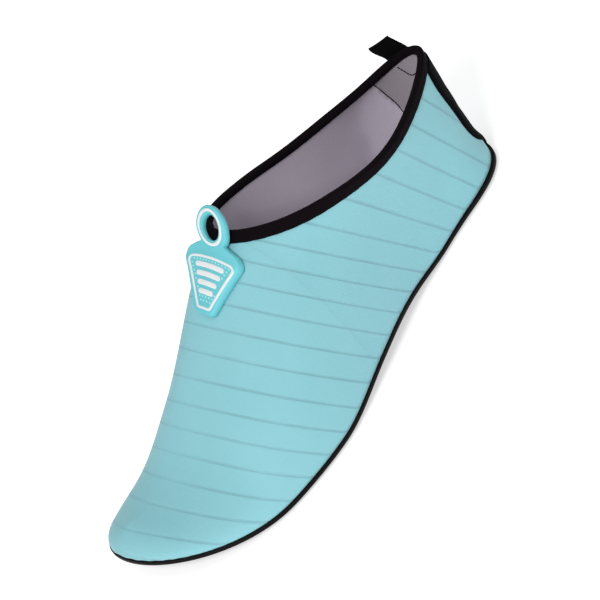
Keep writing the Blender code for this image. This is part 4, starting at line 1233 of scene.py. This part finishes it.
# Instep tag: one moulding of soft aqua plastic, a pull ring that stands off the collar and a shield on
# the instep. A white ring, border and grip ribs are moulded on, and the field between them is dotted.
TAG_RING_ALONG, TAG_RING_ACROSS, TAG_LEAN = 125.2, -2.8, 0.14
TAG_RING_RADIUS, TAG_HOLE_RADIUS, TAG_NECK_WIDTH = 8.9, 5.1, 13.5
TAG_SHIELD_START, TAG_SHIELD_LENGTH, TAG_SHIELD_ASIDE = 7.0, 28.6, -0.6
TAG_SHOULDER_WIDTH, TAG_TIP_WIDTH = 31.4, 13.4
TAG_SHOULDER_ROUND, TAG_TIP_ROUND = 4.2, 4.0
TAG_THICKNESS, TAG_LIFT = 3.1, 0.3
TAG_FLATTEN_INNER, TAG_FLATTEN_OUTER = 0.8, 0.32
TAG_BEND, TAG_BEND_FROM, TAG_BEND_EASE = 0.39, 10.5, 3.0
TAG_RING_STEPS, TAG_CORNER_STEPS, TAG_GRID = 40, 10, 0.9
TAG_SIDE = (
    PlateRow(0.5, 0),
    PlateRow(0, 0.15),
    PlateRow(0, 0.62),
    PlateRow(0.12, 0.82),
    PlateRow(0.4, 0.95),
    PlateRow(0.9, 1),
)
BINDING_CLEAR = 5.0


def arc(centre, radius, start, end, steps):
    turns = np.radians(np.linspace(start, end, steps))
    return [(centre[0] + radius * math.cos(a), centre[1] + radius * math.sin(a)) for a in turns]


def circle(centre, radius, steps):
    return arc(centre, radius, 0, 360, steps + 1)[:-1]


def mirrored(half):
    """A whole outline from the half on the positive side of the tag's middle line."""
    return half + [(along, -across) for along, across in half[::-1] if across > GAP]


def shield_half(inset, below=0.0):
    """Half of the shield's outline from shoulder to tip, moved inward, with its top edge lowered."""
    top, end = TAG_SHIELD_START + below, TAG_SHIELD_START + TAG_SHIELD_LENGTH
    shoulder = (top + TAG_SHOULDER_ROUND, TAG_SHOULDER_WIDTH / 2 - TAG_SHOULDER_ROUND)
    tip = (end - TAG_TIP_ROUND, TAG_TIP_WIDTH / 2 - TAG_TIP_ROUND)
    run, fall = tip[0] - shoulder[0], shoulder[1] - tip[1]
    narrowing = math.asin((TAG_SHOULDER_ROUND - TAG_TIP_ROUND) / math.hypot(run, fall))
    side = 90 - math.degrees(math.atan2(fall, run) + narrowing)
    half = arc(shoulder, TAG_SHOULDER_ROUND - inset, 180, side, TAG_CORNER_STEPS)
    return half + arc(tip, TAG_TIP_ROUND - inset, side, 0, TAG_CORNER_STEPS)


def divided(loop, spacing):
    """A closed outline with points added on its straight sides, so that it can follow a curved face."""
    points = []
    for here, there in zip(loop, loop[1:] + loop[:1]):
        count = math.ceil(math.dist(here, there) / spacing)
        points += [tuple(place) for place in np.linspace(here, there, count, endpoint=False)]
    return points


INSTEP_SLOPE = (RIDGE_ROWS[1].height - RIDGE_ROWS[0].height) / (RIDGE_ROWS[1].along - THROAT)
INSTEP_LEVEL = 1 / math.hypot(1, INSTEP_SLOPE)
INSTEP_NORMAL = np.array([-INSTEP_SLOPE * INSTEP_LEVEL, 0, INSTEP_LEVEL])


def instep_height(along, across):
    """Height of the upper's face over each place, carried on straight behind the throat."""
    ahead = np.maximum(along, THROAT + BINDING_CLEAR)
    above = [Vector((*place, LENGTH)) for place in np.column_stack([ahead, across])]
    height = np.array([wall_tree.ray_cast(place, Vector((0, 0, -1)))[0].z for place in above])
    return height + INSTEP_SLOPE * (along - ahead)


def on_tag(plan, rise, proud=0.0):
    """Points at a share of the tag's thickness over places of its plan, or proud of its face."""
    plan = np.asarray(plan, float)
    along = TAG_RING_ALONG + plan[:, 0] * INSTEP_LEVEL
    middle = TAG_RING_ACROSS + TAG_LEAN * np.maximum(plan[:, 0], 0)
    across = middle + plan[:, 1]
    under = np.column_stack([along, across, instep_height(along, across)])
    fall = instep_height(along, middle) - under[:, 2]
    behind = np.maximum(TAG_BEND_FROM - plan[:, 0], 0)
    clear = TAG_LIFT + TAG_BEND * behind**2 / (behind + TAG_BEND_EASE)
    flatten = np.where(plan[:, 1] < 0, TAG_FLATTEN_INNER, TAG_FLATTEN_OUTER)
    tall = TAG_THICKNESS + np.maximum(flatten * fall, -TAG_THICKNESS / 2)
    return under + (clear + tall * rise + proud)[:, None] * INSTEP_NORMAL


neck_angle = math.degrees(math.asin(TAG_NECK_WIDTH / 2 / TAG_RING_RADIUS))
tag_outline = mirrored(arc((0, 0), TAG_RING_RADIUS, 180, neck_angle, TAG_RING_STEPS) + shield_half(0))
tag_outline = [
    (along, across + TAG_SHIELD_ASIDE * (along > TAG_SHIELD_START - GAP)) for along, across in tag_outline
]
tag_outline = divided(tag_outline, TAG_GRID)
tag_hole = circle((0, 0), TAG_HOLE_RADIUS, TAG_RING_STEPS)
tag_points, tag_faces = rounded_plate(tag_outline, [tag_hole], TAG_SIDE, TAG_GRID, on_tag)

TAG_COLOUR, TAG_COLOUR_EDGE = (0.135, 0.56, 0.625, 1), (0.175, 0.64, 0.70, 1)
TAG_FINISH = {"Specular IOR Level": 0.45, "Subsurface Weight": 0.12, "Subsurface Scale": 0.002}
TAG_ROUGHNESS = (0.36, 0.52)
PLASTIC_GRAIN = Grain(1500.0, 0.00003)
aqua_plastic = moulded(
    "aqua_plastic", TAG_FINISH, (TAG_COLOUR, TAG_COLOUR_EDGE), TAG_ROUGHNESS, CLOTH_CLOUD, PLASTIC_GRAIN
)
make_piece("instep_tag_moulding", tag_points, tag_faces, aqua_plastic, "aqua_plastic", ["instep_tag"])

WHITE_COLOUR, WHITE_SOILED = (0.86, 0.87, 0.88, 1), (0.76, 0.79, 0.81, 1)
WHITE_CLOUD = Cloud(180.0, 3.0)
RELIEF_FINISH, RELIEF_ROUGHNESS = {"Specular IOR Level": 0.4}, (0.4, 0.55)
white_plastic = moulded(
    "white_plastic",
    RELIEF_FINISH,
    (WHITE_COLOUR, WHITE_SOILED),
    RELIEF_ROUGHNESS,
    WHITE_CLOUD,
    PLASTIC_GRAIN,
)
RELIEF_SIDE = (
    PlateRow(0.1, -0.25),
    PlateRow(0, 0.0),
    PlateRow(0, 0.18),
    PlateRow(0.1, 0.3),
    PlateRow(0.3, 0.36),
)
RING_BAND_OUTER, RING_BAND_INNER = 7.4, 6.2
BORDER_INSET, BORDER_WIDTH, BORDER_BELOW = 2.1, 1.1, 2.6
RIB_FIRST, RIB_PITCH, RIB_COUNT = 15.6, 3.6, 4
RIB_HALF_LENGTH, RIB_SHRINK, RIB_HALF_WIDTH = 8.6, 1.4, 1.1
RELIEF_GRID = 1.2


def tag_relief(plan, rise):
    return on_tag(plan, 1.0, rise)


def capsule(along, half_length, half_width):
    """Outline of a rib that lies across the tag."""
    reach = half_length - half_width
    outer = arc((along, reach), half_width, 0, 180, TAG_CORNER_STEPS)
    return outer + arc((along, -reach), half_width, 180, 360, TAG_CORNER_STEPS)


ring_band = [circle((0, 0), radius, TAG_RING_STEPS) for radius in (RING_BAND_OUTER, RING_BAND_INNER)]
border = [
    divided(mirrored(shield_half(inset, BORDER_BELOW)), TAG_GRID)
    for inset in (BORDER_INSET, BORDER_INSET + BORDER_WIDTH)
]
grip_ribs = [(RIB_FIRST + RIB_PITCH * i, RIB_HALF_LENGTH - RIB_SHRINK * i) for i in range(RIB_COUNT)]
rib_outlines = [[divided(capsule(*rib, RIB_HALF_WIDTH), TAG_GRID)] for rib in grip_ribs]
white_parts = [
    rounded_plate(outer, holes, RELIEF_SIDE, RELIEF_GRID, tag_relief)
    for outer, *holes in (ring_band, border, *rib_outlines)
]
make_piece("instep_tag_white_relief", *join_parts(white_parts), white_plastic, "aqua_plastic")

PALE_COLOUR, PALE_SHADE = (0.58, 0.86, 0.89, 1), (0.42, 0.78, 0.83, 1)
PALE_CLOUD = Cloud(360.0, 2.0)
pale_plastic = moulded(
    "pale_plastic", RELIEF_FINISH, (PALE_COLOUR, PALE_SHADE), RELIEF_ROUGHNESS, PALE_CLOUD, PLASTIC_GRAIN
)
SPECK_PITCH, SPECK_CLEAR, SPECK_SIDES = 1.9, 0.75, 8
SpeckRow = namedtuple("SpeckRow", "radius rise")
SPECK_SHAPE = (SpeckRow(0.42, -0.12), SpeckRow(0.40, 0.05), SpeckRow(0.28, 0.13), SpeckRow(0.1, 0.16))


def inside_by(loop, places):
    """How far each place lies inside an outline that bulges all round."""
    loop = turned_left(loop)
    step = np.roll(loop, -1, axis=0) - loop
    inward = unit(np.stack([-step[:, 1], step[:, 0]], axis=1))
    return np.sum((places[:, None] - loop) * inward, axis=2).min(axis=1)


field_end, field_half = TAG_SHIELD_START + TAG_SHIELD_LENGTH, TAG_SHOULDER_WIDTH / 2
speck_rows = np.arange(TAG_SHIELD_START, field_end, SPECK_PITCH * math.sqrt(3) / 2)
speck_places = np.array([
    (along, across + SPECK_PITCH / 2 * (row % 2))
    for row, along in enumerate(speck_rows)
    for across in np.arange(-field_half, field_half, SPECK_PITCH)
])
clear_by = inside_by(border[1], speck_places)
for along, half_length in grip_ribs:
    beyond = np.maximum(np.abs(speck_places[:, 1]) - half_length + RIB_HALF_WIDTH, 0)
    from_rib = np.hypot(speck_places[:, 0] - along, beyond) - RIB_HALF_WIDTH
    clear_by = np.minimum(clear_by, from_rib)
speck_parts = []
for place in speck_places[clear_by > SPECK_CLEAR]:
    rings = [tag_relief(circle(place, radius, SPECK_SIDES), rise) for radius, rise in SPECK_SHAPE]
    speck_parts.append((np.concatenate(rings), ring_faces(len(rings), SPECK_SIDES)))
make_piece("instep_tag_specks", *join_parts(speck_parts), pale_plastic, "aqua_plastic")


# Floor, light and camera: a pale seamless floor, a soft key light close beside the camera, a weak light
# from above, and the camera at the angle from which the shoe's outer side, toe and collar show.
FLOOR_SIZE, FLOOR_CLOUD_CELLS = 6.0, 3.0
FLOOR_COLOUR, FLOOR_SHADE = (0.85, 0.85, 0.855, 1), (0.82, 0.82, 0.825, 1)
FLOOR_GLOW = {"Emission Color": (1, 1, 1, 1), "Emission Strength": 0.55}
FLOOR_FINISH = {"Roughness": 0.9, "Specular IOR Level": 0.1, **FLOOR_GLOW}
VIEW_AZIMUTH, VIEW_ELEVATION, VIEW_ROLL = math.radians(64.2), math.radians(34.8), math.radians(-36.3)
VIEW_DISTANCE, VIEW_REACH = 2.5, 20.0
AIM = Vector((-0.0034, 0.0, 0.03))
AIM_RIGHT, AIM_UP = 0.0039, 0.006
PICTURE_WIDTH, SENSOR = 0.252, 36.0

floor_mesh = bpy.data.meshes.new("floor")
floor_model = bmesh.new()
bmesh.ops.create_grid(floor_model, x_segments=2, y_segments=2, size=FLOOR_SIZE / 2)
floor_model.to_mesh(floor_mesh)
floor_model.free()
floor = bpy.data.objects.new("floor", floor_mesh)
bpy.context.scene.collection.objects.link(floor)
floor_paper, shader = start_material("floor_paper", FLOOR_FINISH)
floor_cloud = noise(floor_paper, FLOOR_CLOUD_CELLS)
connect(floor_paper, shader, Base_Color=blend(floor_paper, floor_cloud, FLOOR_COLOUR, FLOOR_SHADE))
floor_mesh.materials.append(floor_paper)
floor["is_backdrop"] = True

to_camera = Vector(
    (
        math.sin(VIEW_AZIMUTH) * math.cos(VIEW_ELEVATION),
        -math.cos(VIEW_AZIMUTH) * math.cos(VIEW_ELEVATION),
        math.sin(VIEW_ELEVATION),
    )
)
level_right = Vector((math.cos(VIEW_AZIMUTH), math.sin(VIEW_AZIMUTH), 0))
level_up = to_camera.cross(level_right)
picture_right = math.cos(VIEW_ROLL) * level_right + math.sin(VIEW_ROLL) * level_up
picture_up = math.cos(VIEW_ROLL) * level_up - math.sin(VIEW_ROLL) * level_right
aim = AIM + AIM_RIGHT * picture_right + AIM_UP * picture_up

camera_data = bpy.data.cameras.new("camera")
camera_data.sensor_width = SENSOR
camera_data.lens = SENSOR * VIEW_DISTANCE / PICTURE_WIDTH
camera_data.clip_end = VIEW_REACH
camera = bpy.data.objects.new("camera", camera_data)
camera_turn = Matrix((picture_right, picture_up, to_camera)).transposed()
camera.matrix_world = Matrix.Translation(aim + VIEW_DISTANCE * to_camera) @ camera_turn.to_4x4()
bpy.context.scene.collection.objects.link(camera)
bpy.context.scene.camera = camera

SoftLight = namedtuple("SoftLight", "name right up near distance size watts")
SOFT_LIGHTS = (
    SoftLight("top_light", -0.45, 0.62, 0.65, 1.6, 0.9, 3.0),
    SoftLight("key_light", -0.32, -0.06, 1.0, 1.7, 0.5, 14.3),
)
for light in SOFT_LIGHTS:
    data = bpy.data.lights.new(light.name, "AREA")
    data.size, data.energy = light.size, light.watts
    lamp = bpy.data.objects.new(light.name, data)
    toward = (light.right * picture_right + light.up * picture_up + light.near * to_camera).normalized()
    lamp.location = aim + light.distance * toward
    lamp.rotation_euler = toward.to_track_quat("Z", "Y").to_euler()
    bpy.context.scene.collection.objects.link(lamp)

WORLD_COLOUR, WORLD_STRENGTH = (1.0, 1.0, 1.0, 1), 0.4
world = bpy.data.worlds.new("studio")
world.use_nodes = True
background = world.node_tree.nodes["Background"]
background.inputs["Color"].default_value = WORLD_COLOUR
background.inputs["Strength"].default_value = WORLD_STRENGTH
bpy.context.scene.world = world
bpy.context.scene.view_settings.view_transform = "Standard"

visual_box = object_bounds()
({name: [list(map(float, corner)) for corner in box] for name, box in
           (("cad", cad_box), ("visual", visual_box))})
